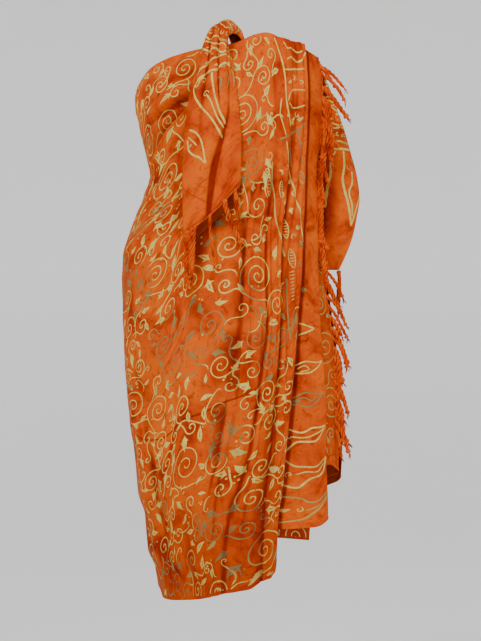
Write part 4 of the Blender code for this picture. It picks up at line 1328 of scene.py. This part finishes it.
def rope(points, faces, path, twist_start, thin=1.0, plies=3, sides=6):
    """Adds a twisted cord along the path. Each point ends with its shade, darkest between the plies."""
    first, second = spokes_of(unit(np.gradient(path, axis=0)))
    along = distances(path)
    taper = np.interp(along / along[-1], (0, 0.1, 0.85, 1), (0.85, 1, 0.95, 0.6)) * thin
    for ply in range(plies):
        angle = (twist_start + along * PLY_TWIST + ply * 2 * math.pi / plies)[:, None]
        offset = np.cos(angle) * first + np.sin(angle) * second
        centre = path + offset * (PLY_OFFSET * taper)[:, None]
        base = len(points)
        for ring in range(len(path)):
            for side in range(sides):
                turn = side * 2 * math.pi / sides
                spoke = first[ring] * math.cos(turn) + second[ring] * math.sin(turn)
                spot = centre[ring] + spoke * PLY_RADIUS * taper[ring]
                share = np.linalg.norm(spot - path[ring]) / ((PLY_OFFSET + PLY_RADIUS) * taper[ring])
                points.append((*spot, GROOVE_SHADE * (1 - share)))
        add_tube(faces, base, len(path), sides)


def knot(points, faces, centre, way, size, sides=8):
    """Adds a small round knot."""
    way = unit(way)
    first, second = spokes_of(way)
    base = len(points)
    for height, wide in KNOT_RINGS:
        for side in range(sides):
            turn = side * 2 * math.pi / sides + height
            bulge = 1 + 0.16 * math.sin(3 * turn + 4 * height)
            spoke = first * math.cos(turn) + second * math.sin(turn)
            points.append((*(centre + way * height * size + spoke * size * wide * bulge), KNOT_SHADE))
    add_tube(faces, base, len(KNOT_RINGS), sides)


def tuft(points, faces, chance, centre, way, length, count=5):
    """Adds a few loose threads that spread from the end of a strand."""
    for _ in range(count):
        bend = np.array([chance.uniform(-1, 1) for _ in range(3)]) * 0.45
        steps = np.linspace(0, 1, 5)[:, None]
        path = centre + unit(way) * length * steps + bend * length * steps**2
        rope(points, faces, path, chance.uniform(0, 6), thin=0.32, plies=1, sides=6)


def strip(points, faces, line, way, facing):
    """Adds the narrow woven strip that the strands grow from."""
    half = facing * (SHELL / 2)
    base = len(points)
    outer = line + way * STRIP_WIDTH
    for section in np.stack([line - half, line + half, outer + half, outer - half], axis=1):
        points.extend((*spot, KNOT_SHADE) for spot in section)
    add_tube(faces, base, len(line), 4)


def hanging(start, way, along, facing, slant, length, lean, chance, rings=15):
    """Path of a strand that leaves its strip and soon hangs along its own slant."""
    points = [start]
    sway = chance.uniform(-0.25, 0.25)
    for ring in range(1, rings + 1):
        turned = 1 - (1 - ring / rings) ** 4
        angle = math.radians(90 - slant) * (0.50 + 0.50 * turned)
        wave = sway * math.sin(ring / rings * 5.0)
        step = way * (math.cos(angle) + wave) + along * math.sin(angle)
        step = step + facing * (lean * (1 - turned) + wave * 0.4)
        points.append(points[-1] + unit(step) * (length / rings))
    return np.array(points)


def edge_fringe(name, cloth, extent, slants, splay, material):
    """Fringe down the upright right edge of a cloth."""
    z_top, z_low, seed = extent
    chance = random.Random(seed)
    count = round((z_top - z_low) / STRAND_PITCH)
    pitch = (z_top - z_low) / count
    grid = cloth.grid
    heights = np.linspace(z_top, z_low, 60)
    levels = grid[:, -1, 2]

    def along_line(values, at):
        return np.stack([np.interp(-at, -levels, values[:, axis]) for axis in range(3)], axis=1)

    root = along_line(grid[:, -1], heights)
    way = unit(along_line(unit(grid[:, -1] - grid[:, -3]), heights))
    facing = along_line(cloth.normals[:, -1], heights)
    facing = unit(facing - way * (facing * way).sum(axis=1)[:, None])
    points, faces = [], []
    root = root + way * (SEAM_GAP * 2)
    strip(points, faces, root, way, facing)
    for k in range(count):
        for twin in range(2 if chance.random() < 0.25 else 1):
            z = z_top - (k + 0.5 + 0.30 * twin + chance.uniform(-0.22, 0.22)) * pitch
            spot = np.array([np.interp(-z, -heights, root[:, axis]) for axis in range(3)])
            near = int(np.argmin(np.abs(heights - z)))
            out = way[near] * math.cos(splay) + facing[near] * math.sin(splay)
            face = facing[near] * math.cos(splay) - way[near] * math.sin(splay)
            down = unit(root[min(near + 1, len(root) - 1)] - root[max(near - 1, 0)])
            slant = float(follow(slants)(z)) * 0.66 + chance.uniform(-10, 8) - 10 * twin
            length = chance.uniform(*EDGE_STRAND_LENGTHS)
            start = spot + way[near] * STRIP_WIDTH * 0.7
            path = hanging(start, out, down, face, slant, length, EDGE_STRAND_LEANS[k % 2], chance)
            thin = chance.choice(EDGE_STRAND_THICKNESSES) * (1 - 0.2 * twin)
            rope(points, faces, path, chance.uniform(0, 6), thin)
            knot(points, faces, start, out, 0.0042)
            if chance.random() < 0.8:
                knot(points, faces, path[-1], path[-1] - path[-2], 0.0044 * thin)
            tuft(points, faces, chance, path[-1], path[-1] - path[-2], TUFT_LENGTH, 7)
    return loose_piece(name, points, faces, material)


def loose_piece(name, points, faces, material):
    """A piece of strands on their strip, in place of the fringe node of the same ending."""
    points = np.array(points)
    # The painted shade that each point carries: full between plies, painted light on their outsides
    shades = np.stack([np.clip(points[:, 3], 0, 1), np.zeros(len(points))], axis=1)
    piece = new_mesh(name, points[:, :3], faces, {}, None, shades)
    piece.data.materials.append(material)
    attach(piece, "root")
    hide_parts(name.replace("strands_", "fringe_"))
    print(f"{name}: {2 * len(faces)} triangles")
    return piece


def hem_fringe(name, line, facing, strands, seed, material):
    """Tassels below a hanging hem. strands gives index place, length, cords, thickness and slant."""
    chance = random.Random(seed)
    way = np.tile(np.array([0.0, 0.0, -1.0]), (len(line), 1))
    facing = unit(facing - way * (facing * way).sum(axis=1)[:, None])
    line = line + way * (SEAM_GAP * 2)
    points, faces = [], []
    strip(points, faces, line, way, facing)
    for at, length, cords, thin, slant in strands:
        spot = np.array([np.interp(at, np.arange(len(line)), line[:, axis]) for axis in range(3)])
        face = facing[int(round(at))]
        aside = unit(np.cross(way[0], face))
        top = spot + way[0] * STRIP_WIDTH * 0.8
        knot(points, faces, top, way[0], 0.0046 * thin)
        for cord in range(cords):
            spread = (cord - (cords - 1) / 2) * 0.0054
            wave = chance.uniform(-0.16, 0.16)
            reach = length * chance.uniform(0.8, 1.0)
            steps = np.linspace(0, 1, 22)[:, None]
            drift = spread * steps**0.5 + wave * reach * steps**2 * 0.4
            path = top + way[0] * reach * steps + aside * drift
            path = path + face * 0.0012 * np.sin(steps * 5 + cord)
            path[:, 0] += slant * reach * steps[:, 0] ** 1.3
            rope(points, faces, path, chance.uniform(0, 6), thin)
            if chance.random() < 0.7:
                knot(points, faces, path[-1], way[0], 0.0044 * thin)
            tuft(points, faces, chance, path[-1], way[0], TUFT_LENGTH, 6)
    return loose_piece(name, points, faces, material)


def tail_fringe(cloth, material):
    """Tassels along the slanting hem of the front tail."""
    hem, normals = cloth.grid[-1], cloth.normals[-1]
    middle = (len(hem) - 1) / 2
    strands = [
        (middle + place * middle, length, *kind)
        for place, length, kind in zip(TAIL_STRANDS, TAIL_STRAND_LENGTHS, TAIL_STRAND_KINDS)
    ]
    return hem_fringe("strands_tail_front", hem, normals, strands, 7, material)


def side_fringe(cloth, material):
    """Tassels below the tip of the side tail."""
    tip = cloth.grid[-1]
    y = SIDE_TAIL_Y + np.linspace(-SIDE_STRIP_HALF, SIDE_STRIP_HALF, 14)
    line = np.stack([tip[:, 0].max() + 0 * y, y, tip[0, 2] - SEAM_GAP + 0 * y], axis=1)
    facing = np.tile(np.array([1.0, 0.0, 0.0]), (len(y), 1))
    places = [(place + SIDE_STRIP_HALF) / 0.001 for place in SIDE_STRAND_PLACES]
    strands = [(place, length, 1, 0.9, 0.0) for place, length in zip(places, SIDE_STRAND_LENGTHS)]
    return hem_fringe("strands_tail_side", line, facing, strands, 9, material)


# Prints of each piece. All places are in the flat metres of their cloth

# Where the field of scrolls begins on the bundle: place down the cloth, place across it
BORDER = (
    (0.0, 0.106),
    (0.05, 0.088),
    (0.10, 0.088),
    (0.24, 0.090),
    (0.30, 0.066),
    (0.36, 0.046),
    (0.43, 0.0),
    (0.9, 0.0),
)
# The border that slants over the bundle: line width, dimness, places
BORDER_LINES = (
    (0.0044, 0.0, ((0.100, 0.003), (0.077, 0.045), (0.066, 0.100), (0.050, 0.137))),
    (0.0030, 0.2, ((0.061, 0.158), (0.041, 0.216), (0.020, 0.268), (0.006, 0.326))),
    (0.0028, 0.0, ((0.079, 0.096), (0.081, 0.116), (0.074, 0.133), (0.063, 0.150))),
    (
        0.0034,
        0.4,
        ((0.092, 0.190), (0.088, 0.218), (0.079, 0.240), (0.071, 0.273), (0.054, 0.300), (0.041, 0.330)),
    ),
    (0.0030, 0.9, ((0.038, 0.362), (0.036, 0.395), (0.031, 0.430), (0.026, 0.455))),
    (0.0030, 0.0, ((0.075, 0.006), (0.064, 0.015), (0.050, 0.012), (0.035, 0.018), (0.020, 0.012))),
    (0.0034, 0.0, ((0.066, 0.033), (0.050, 0.027), (0.036, 0.034), (0.024, 0.027), (0.014, 0.014))),
    (0.0036, 0.0, ((0.073, 0.051), (0.050, 0.048), (0.018, 0.043))),
    (0.0030, 0.1, ((0.062, 0.099), (0.056, 0.086), (0.042, 0.080), (0.020, 0.079))),
    (0.0028, 0.2, ((0.060, 0.101), (0.045, 0.108), (0.019, 0.101))),
    (0.0038, 1.0, ((0.079, 0.156), (0.056, 0.150), (0.035, 0.141), (0.017, 0.128))),
    (0.0030, 1.0, ((0.035, 0.141), (0.028, 0.165), (0.018, 0.193))),
    (0.0026, 0.9, ((0.052, 0.152), (0.046, 0.172), (0.041, 0.196))),
)
# Small curls: middle, radius
BORDER_CURLS = (
    (0.046, 0.062, 0.0050),
    (0.030, 0.066, 0.0042),
    (0.036, 0.118, 0.0050),
    (0.026, 0.160, 0.0040),
    (0.054, 0.196, 0.0045),
    (0.034, 0.236, 0.0050),
    (0.020, 0.226, 0.0040),
    (0.062, 0.236, 0.0048),
    (0.050, 0.262, 0.0042),
    (0.028, 0.300, 0.0046),
    (0.016, 0.345, 0.0050),
    (0.060, 0.120, 0.0042),
)
BORDER_LEAVES = (
    (0.058, 0.070),
    (0.044, 0.128),
    (0.030, 0.122),
    (0.045, 0.220),
    (0.052, 0.246),
    (0.036, 0.262),
    (0.022, 0.288),
    (0.014, 0.312),
    (0.070, 0.204),
)
# A ladder of short lines: middle of its first rung, distance between rungs, how many
LADDER = (0.024, 0.352, 0.0052, 9)
# Ribbed leaves: middle and top, length, breadth, dimness, and where along one its ribs lie
BORDER_FEATHERS = (
    (0.098, 0.206, 0.034, 0.011, 0.2),
    (0.070, 0.216, 0.026, 0.009, 0.3),
    (0.046, 0.274, 0.030, 0.010, 0.1),
    (0.034, 0.318, 0.030, 0.010, 0.4),
    (0.024, 0.200, 0.022, 0.008, 0.7),
)
FEATHER_RIBS = (0.24, 0.38, 0.52, 0.66, 0.80)


def feather(art, x, y, length, breadth, dim):
    """The outline of a long leaf with short ribs inside."""
    at = np.linspace(0, 1, 9)
    half = breadth / 2 * np.sin(at * math.pi) ** 0.8
    for side in (-1, 1):
        edge = np.stack([x + side * half - 0.2 * length * at, y + length * at], axis=1)
        art.smooth(edge, 0.0016, dim=dim)
    for share in FEATHER_RIBS:
        reach = breadth * 0.34 * math.sin(share * math.pi)
        middle, level = x - 0.2 * length * share, y + length * share
        rib = [(middle + side * reach, level - abs(side) * reach * 0.4) for side in (-1, 0, 1)]
        art.line(rib, 0.0014, dim=dim)


def print_outer(cloth, material):
    """The slanting border on the bundle, and the field of scrolls beside it and all round."""
    art = Print(cloth, 101)
    width, length = cloth.u[-1], cloth.v[-1]
    for line_width, dim, places in BORDER_LINES:
        art.smooth(places, line_width * 0.8, dim=dim)
    chance = random.Random(77)
    for x, y, radius in BORDER_CURLS:
        art.curl((x, y), radius, 1.3, chance.uniform(0, 6), chance.choice((-1, 1)))
    for x, y in BORDER_LEAVES:
        art.leaf((x, y), chance.uniform(0.010, 0.016), 0.0055, chance.uniform(0, 6))
    x, y, pitch, count = LADDER
    for k in range(count):
        art.line([(x, y + pitch * k), (x + 0.010 - 0.0006 * k, y + 0.002 + pitch * k)], 0.0018, dim=0.5)
    for place in BORDER_FEATHERS:
        feather(art, *place)
    edge = follow(BORDER)
    box = (0.004, 0.004, width - 0.004, length - 0.004)
    draw_scrolls(art, box, 5, lambda x, y, room: x > edge(y) + room)
    return art.build("outer_print", material)


def print_under(cloth, material):
    """Scrolls on the upper part of the inner turn."""
    art = Print(cloth, 102)
    width, length = cloth.u[-1], cloth.v[-1]
    draw_scrolls(art, (0.004, 0.004, width - 0.004, length * 0.40), 6)
    return art.build("under_print", material)


# Flames across the end panel: line width, dimness, places
PANEL_LINES = (
    (0.0034, 0.0, ((0.012, 0.466), (0.030, 0.4685), (0.047, 0.4720))),
    (0.0034, 0.0, ((0.012, 0.486), (0.030, 0.480), (0.047, 0.4725))),
    (0.0030, 0.1, ((0.008, 0.5370), (0.030, 0.5290), (0.060, 0.5310))),
    (0.0030, 0.0, ((0.010, 0.5500), (0.032, 0.5480), (0.060, 0.5315))),
    (0.0022, 0.1, ((0.012, 0.5430), (0.026, 0.5360), (0.034, 0.5420), (0.018, 0.5470))),
    (0.0030, 1.0, ((0.008, 0.5920), (0.030, 0.5810), (0.059, 0.5850))),
    (0.0030, 1.0, ((0.008, 0.6010), (0.032, 0.6050), (0.059, 0.5855))),
    (0.0022, 1.0, ((0.010, 0.5960), (0.026, 0.5900), (0.038, 0.5940), (0.048, 0.5870))),
    (0.0034, 0.0, ((0.006, 0.6430), (0.024, 0.6490), (0.042, 0.6400), (0.063, 0.6440))),
    (0.0034, 0.1, ((0.006, 0.6790), (0.022, 0.6640), (0.042, 0.6640), (0.063, 0.6450))),
    (0.0026, 0.0, ((0.012, 0.6560), (0.028, 0.6570), (0.046, 0.6510), (0.060, 0.6470))),
    (0.0036, 0.3, ((0.004, 0.6930), (0.022, 0.7060), (0.042, 0.7070), (0.065, 0.7000))),
    (0.0036, 0.1, ((0.004, 0.7360), (0.022, 0.7420), (0.040, 0.7260), (0.058, 0.7220), (0.065, 0.7010))),
    (0.0024, 0.2, ((0.020, 0.7200), (0.034, 0.7150), (0.048, 0.7160), (0.060, 0.7080))),
    (0.0032, 0.8, ((0.003, 0.7560), (0.026, 0.7590), (0.042, 0.7680), (0.064, 0.7600))),
    (0.0032, 0.6, ((0.003, 0.8000), (0.030, 0.7960), (0.046, 0.7840), (0.064, 0.7700))),
    (0.0026, 0.7, ((0.034, 0.7820), (0.048, 0.7760), (0.064, 0.7650))),
)
PANEL_CURLS = ((0.012, 0.7190, 0.0052), (0.027, 0.7790, 0.0052), (0.010, 0.6560, 0.0036))
PANEL_LEAVES = ((0.020, 0.4100, 0.018, 0.9), (0.011, 0.7780, 0.014, 0.1), (0.016, 0.5960, 0.012, 1.0))

# Bands and flames on the tail: line width, dimness, places
TAIL_LINES = (
    (0.0034, 0.0, ((0.004, 0.166), (0.024, 0.158), (0.046, 0.165), (0.066, 0.176), (0.087, 0.190))),
    (
        0.0042,
        0.0,
        ((0.010, 0.180), (0.026, 0.174), (0.044, 0.186), (0.060, 0.188), (0.074, 0.196), (0.086, 0.210)),
    ),
    (
        0.0034,
        0.0,
        ((0.086, 0.210), (0.080, 0.222), (0.070, 0.238), (0.054, 0.260), (0.040, 0.284), (0.031, 0.306)),
    ),
    (0.0036, 0.0, ((0.052, 0.190), (0.050, 0.204), (0.047, 0.222), (0.040, 0.246), (0.027, 0.284))),
    (0.0028, 0.0, ((0.058, 0.226), (0.052, 0.236), (0.044, 0.258), (0.034, 0.280), (0.029, 0.290))),
    (0.0026, 0.2, ((0.080, 0.196), (0.074, 0.202), (0.078, 0.209), (0.086, 0.204))),
    (0.0030, 0.1, ((0.084, 0.272), (0.074, 0.279), (0.065, 0.294), (0.060, 0.316), (0.057, 0.334))),
    (0.0030, 0.1, ((0.086, 0.286), (0.084, 0.300), (0.076, 0.312), (0.066, 0.320), (0.057, 0.334))),
    (0.0022, 0.1, ((0.085, 0.282), (0.078, 0.290), (0.071, 0.300))),
    (0.0040, 0.7, ((0.022, 0.190), (0.018, 0.204), (0.022, 0.220))),
    (0.0036, 0.8, ((0.008, 0.186), (0.004, 0.204), (0.008, 0.222))),
    (0.0028, 0.9, ((0.038, 0.196), (0.032, 0.206), (0.034, 0.224))),
)
TAIL_CURLS = (
    (0.0600, 0.2240, 0.0062),
    (0.0670, 0.2010, 0.0066),
    (0.0300, 0.1780, 0.0044),
    (0.0780, 0.1830, 0.0040),
    (0.0140, 0.1740, 0.0040),
)
TAIL_LEAVES = ((0.0440, 0.1770, 0.011, 0.0), (0.0640, 0.1720, 0.010, 0.1), (0.0820, 0.2960, 0.008, 0.2))
# Bands across the tail: place, line width. Rows of curls: place, radius
TAIL_BANDS = (
    (0.062, 0.0026),
    (0.070, 0.0036),
    (0.080, 0.0022),
    (0.096, 0.0030),
    (0.106, 0.0022),
    (0.130, 0.0030),
    (0.139, 0.0022),
    (0.151, 0.0036),
)
TAIL_CURL_ROWS = ((0.088, 0.0038), (0.118, 0.0052), (0.1455, 0.0030), (0.158, 0.0034))

# Flames on the side tail: line width, dimness, places
SIDE_LINES = (
    (0.0050, 0.1, ((0.002, 0.144), (0.026, 0.139), (0.060, 0.139), (0.092, 0.142), (0.115, 0.146))),
    (0.0040, 0.2, ((0.020, 0.143), (0.011, 0.160), (0.010, 0.186), (0.0055, 0.212), (0.002, 0.244))),
    (0.0040, 0.1, ((0.034, 0.142), (0.031, 0.168), (0.026, 0.194), (0.033, 0.238), (0.0424, 0.274))),
    (
        0.0036,
        0.0,
        ((0.0424, 0.274), (0.046, 0.246), (0.052, 0.222), (0.064, 0.198), (0.070, 0.170), (0.066, 0.143)),
    ),
    (0.0028, 0.1, ((0.042, 0.178), (0.040, 0.198), (0.034, 0.216), (0.039, 0.240), (0.041, 0.258))),
    (0.0040, 0.2, ((0.080, 0.143), (0.086, 0.168), (0.078, 0.196), (0.080, 0.232), (0.086, 0.268))),
    (0.0036, 0.3, ((0.086, 0.268), (0.094, 0.236), (0.096, 0.210), (0.108, 0.186), (0.104, 0.146))),
)
# Bands across the side tail, and the row of curls between them: place, radius, how many
SIDE_BANDS = (0.016, 0.025, 0.036, 0.044, 0.052, 0.060, 0.0665, 0.075, 0.084, 0.094, 0.100, 0.127)
SIDE_CURL_ROW = (0.1135, 0.0046, 11)
SIDE_CURLS = ((0.040, 0.172, 0.0055), (0.050, 0.158, 0.0046), (0.072, 0.166, 0.0048), (0.092, 0.176, 0.0050))


def draw_motifs(art, lines, curls=(), leaves=()):
    """Draws the rows of a piece's tables."""
    for width, dim, places in lines:
        art.smooth(places, width * 0.85, dim=dim)
    for x, y, radius in curls:
        art.curl((x, y), radius, 1.4, art.chance.uniform(0, 6), art.chance.choice((-1, 1)))
    for x, y, length, dim in leaves:
        art.leaf((x, y), length, length * 0.42, art.chance.uniform(-0.4, 0.4), dim=dim)


def print_panel(cloth, material):
    """Flame outlines that point to the fringed end."""
    art = Print(cloth, 103)
    draw_motifs(art, PANEL_LINES, PANEL_CURLS, PANEL_LEAVES)
    return art.build("panel_print", material)


def print_tail(cloth, material):
    """Bands where the tail leaves its loop, then thin flame lines that run to its fold."""
    art = Print(cloth, 104)
    width = cloth.u[-1]
    at = np.linspace(0.03, 0.97, 40)
    for v, line_width in TAIL_BANDS:
        wave = 0.0022 * np.sin(at * 19 + v * 300) + 0.0010 * np.sin(at * 43 + v * 700)
        art.line(np.stack([width * at, v + wave], axis=1), line_width)
    for v, size in TAIL_CURL_ROWS:
        for k in range(6):
            art.curl((width * (0.12 + 0.15 * k), v), size, 1.2, art.chance.uniform(0, 6), (-1) ** k)
    draw_motifs(art, TAIL_LINES, TAIL_CURLS, TAIL_LEAVES)
    return art.build("tail_print", material)


def print_side(cloth, material):
    """Bands across the side tail, then long flame outlines that point down."""
    art = Print(cloth, 105)
    width = cloth.u[-1]
    at = np.linspace(0.02, 0.98, 50)
    for v in SIDE_BANDS:
        wave = 0.0016 * np.sin(at * 17 + v * 300)
        art.line(np.stack([width * at, v + wave], axis=1), art.chance.uniform(0.0028, 0.0044))
    v, size, count = SIDE_CURL_ROW
    for k in range(count):
        art.curl((width * (0.06 + 0.088 * k), v), size, 1.3, art.chance.uniform(0, 6), (-1) ** k)
    draw_motifs(art, SIDE_LINES, SIDE_CURLS)
    return art.build("side_print", material)


def print_scrap(cloth, name, seed, material):
    """The field's scrolls on a small piece."""
    art = Print(cloth, seed)
    draw_scrolls(art, (0.002, 0.002, cloth.u[-1] - 0.002, cloth.v[-1] - 0.002), seed)
    return art.build(name, material)


# Cloths: function, material, node, hems at top and bottom, how it is held, what it rests on
CLOTHS = {
    "outer": (outer_cloth, "outer", "outer_wrap", (True, True), "draped", ["under_cloth"]),
    "under": (under_cloth, "plain", "under_wrap", (True, True), "draped", ["outer_cloth"]),
    "panel": (panel_cloth, "plain", "end_panel", (True, True), "draped", ["outer_cloth"]),
    "return": (return_cloth, "shaded", "end_return", (False, True), "folded", ["under_cloth"]),
    "corner": (corner_cloth, "dark", "under_corner", (False, True), "draped", ["panel_cloth"]),
    "tail": (tail_cloth, "tail", "tail_front", (False, True), "gathered", ["under_cloth", "outer_cloth"]),
    "back": (back_cloth, "dark", "tail_back", (False, True), "hung", ["tail_cloth"]),
    "side": (side_cloth, "plain", "tail_side", (False, False), "gathered", ["outer_cloth"]),
}


def dress(look):
    """All pieces of the sarong: its cloths, then their prints and fringes."""
    cloths = {key: row[0]() for key, row in CLOTHS.items()}
    shells = {
        key: shell(cloths[key], look[face], look["reverse"], node, hems)
        for key, (_, face, node, hems, _, _) in CLOTHS.items()
    }
    prints = {
        "outer": print_outer(cloths["outer"], look["print"]),
        "under": print_under(cloths["under"], look["print"]),
        "panel": print_panel(cloths["panel"], look["print"]),
        "return": print_scrap(cloths["return"], "return_print", 106, look["olive"]),
        "corner": print_scrap(cloths["corner"], "corner_print", 107, look["olive"]),
        "tail": print_tail(cloths["tail"], look["print"]),
        "side": print_side(cloths["side"], look["print"]),
    }
    strand = look["strand"]
    upper, lower = (UPPER_FRINGE, UPPER_SLANT, UPPER_SPLAY), (LOWER_FRINGE, LOWER_SLANT, LOWER_SPLAY)
    fringes = {
        "panel": edge_fringe("strands_upper", cloths["panel"], *upper, strand),
        "return": edge_fringe("strands_lower", cloths["return"], *lower, strand),
        "tail": tail_fringe(cloths["tail"], strand),
        "side": side_fringe(cloths["side"], strand),
    }
    for key, (_, _, _, _, held, rests_on) in CLOTHS.items():
        extras = [things[key] for things in (prints, fringes) if key in things]


# Stage, camera and light

CAMERA_AT = (0.015, -2.4, -0.386)
CAMERA_LENS = 77.0
FLOOR_Z = -1.35
COVE_INNER, COVE_BEND, COVE_HEIGHT = 3.4, 1.2, 3.2
COVE_STEPS, COVE_SIDES = 12, 64
COVE_GLOW = 0.30
AIR_GLOW = 0.12
# Lights: name, place, target, size, power, colour
LIGHTS = (
    ("key_light", (-0.80, -1.75, 1.55), (0, 0, -0.10), (0.5, 0.5), 45, (1.0, 0.99, 0.96)),
    ("fill_light", (1.8, -1.7, 0.6), (0, 0, -0.2), (1.0, 1.0), 22, (1, 1, 1)),
    ("back_light", (0.6, 2.0, 1.6), (0, 0, -0.3), (1.6, 1.0), 24, (1, 1, 1)),
)


def backdrop():
    """A pale round floor that curves up into a wall all round."""
    profile = [(0.0, 0.0), (COVE_INNER, 0.0)]
    for k in range(1, COVE_STEPS + 1):
        angle = k / COVE_STEPS * math.pi / 2
        profile.append((COVE_INNER + math.sin(angle) * COVE_BEND, COVE_BEND - math.cos(angle) * COVE_BEND))
    profile.append((COVE_INNER + COVE_BEND, COVE_HEIGHT))
    around = np.linspace(0, 2 * math.pi, COVE_SIDES, endpoint=False)
    points = [
        (reach * math.cos(angle), reach * math.sin(angle), FLOOR_Z + up)
        for reach, up in profile
        for angle in around
    ]
    faces = []
    for k in range(len(profile) - 1):
        for side in range(COVE_SIDES):
            after = (side + 1) % COVE_SIDES
            low, high = k * COVE_SIDES, (k + 1) * COVE_SIDES
            faces.append((low + side, high + side, high + after, low + after))
    floor = new_mesh("studio_floor", points, faces, {})
    nodes = Nodes("studio_paper")
    values = {"Base Color": (0.90, 0.90, 0.90), "Roughness": 0.9}
    nodes.put(nodes.shader, values | {"Emission Color": WHITE, "Emission Strength": COVE_GLOW})
    floor.data.materials.append(nodes.material)


def soft_light(name, place, target, size, power, colour):
    """A rectangular light at the place, turned to its target."""
    lamp = bpy.data.lights.new(name, "AREA")
    lamp.shape = "RECTANGLE"
    lamp.size, lamp.size_y = size
    lamp.energy = power
    lamp.color = colour
    thing = bpy.data.objects.new(name, lamp)
    thing.location = place
    way = np.array(target, float) - np.array(place, float)
    across = math.hypot(way[0], way[1])
    thing.rotation_euler = (math.atan2(across, -way[2]), 0, math.atan2(way[0], -way[1]) + math.pi)
    bpy.context.scene.collection.objects.link(thing)


def studio():
    """Backdrop, lights, air and camera."""
    backdrop()
    for row in LIGHTS:
        soft_light(*row)
    world = bpy.data.worlds.new("studio_air")
    world.use_nodes = True
    world.node_tree.nodes["Background"].inputs["Color"].default_value = (1, 1, 1, 1)
    world.node_tree.nodes["Background"].inputs["Strength"].default_value = AIR_GLOW
    bpy.context.scene.world = world
    camera = bpy.data.cameras.new("photo_camera")
    camera.lens = CAMERA_LENS
    camera.sensor_width = 36.0
    thing = bpy.data.objects.new("photo_camera", camera)
    thing.location = CAMERA_AT
    thing.rotation_euler = (math.radians(90), 0, 0)
    bpy.context.scene.collection.objects.link(thing)
    bpy.context.scene.camera = thing


dress(
    # reverse, shaded and dark are the cloth darkened by painted shade: on the inner face, on the strip
    # turned round the side, and on the corner below the panel and the tail's second layer. olive is the
    # print dulled by painted shade
    {
        "outer": cloth_material("batik_outer", 0.0, OUTER_PRESSED),
        "tail": cloth_material("batik_tail", 0.0, TAIL_PRESSED),
        "plain": cloth_material("batik_plain"),
        "reverse": cloth_material("batik_reverse_painted_shade", 0.45),
        "shaded": cloth_material("batik_shaded", 0.25),
        "dark": cloth_material("batik_under_fold_painted_shade", 0.62),
        "print": print_material("batik_print"),
        "olive": print_material("batik_print_dim_painted_shade", 0.7),
        "strand": strand_material("twisted_strands"),
    }
)
studio()
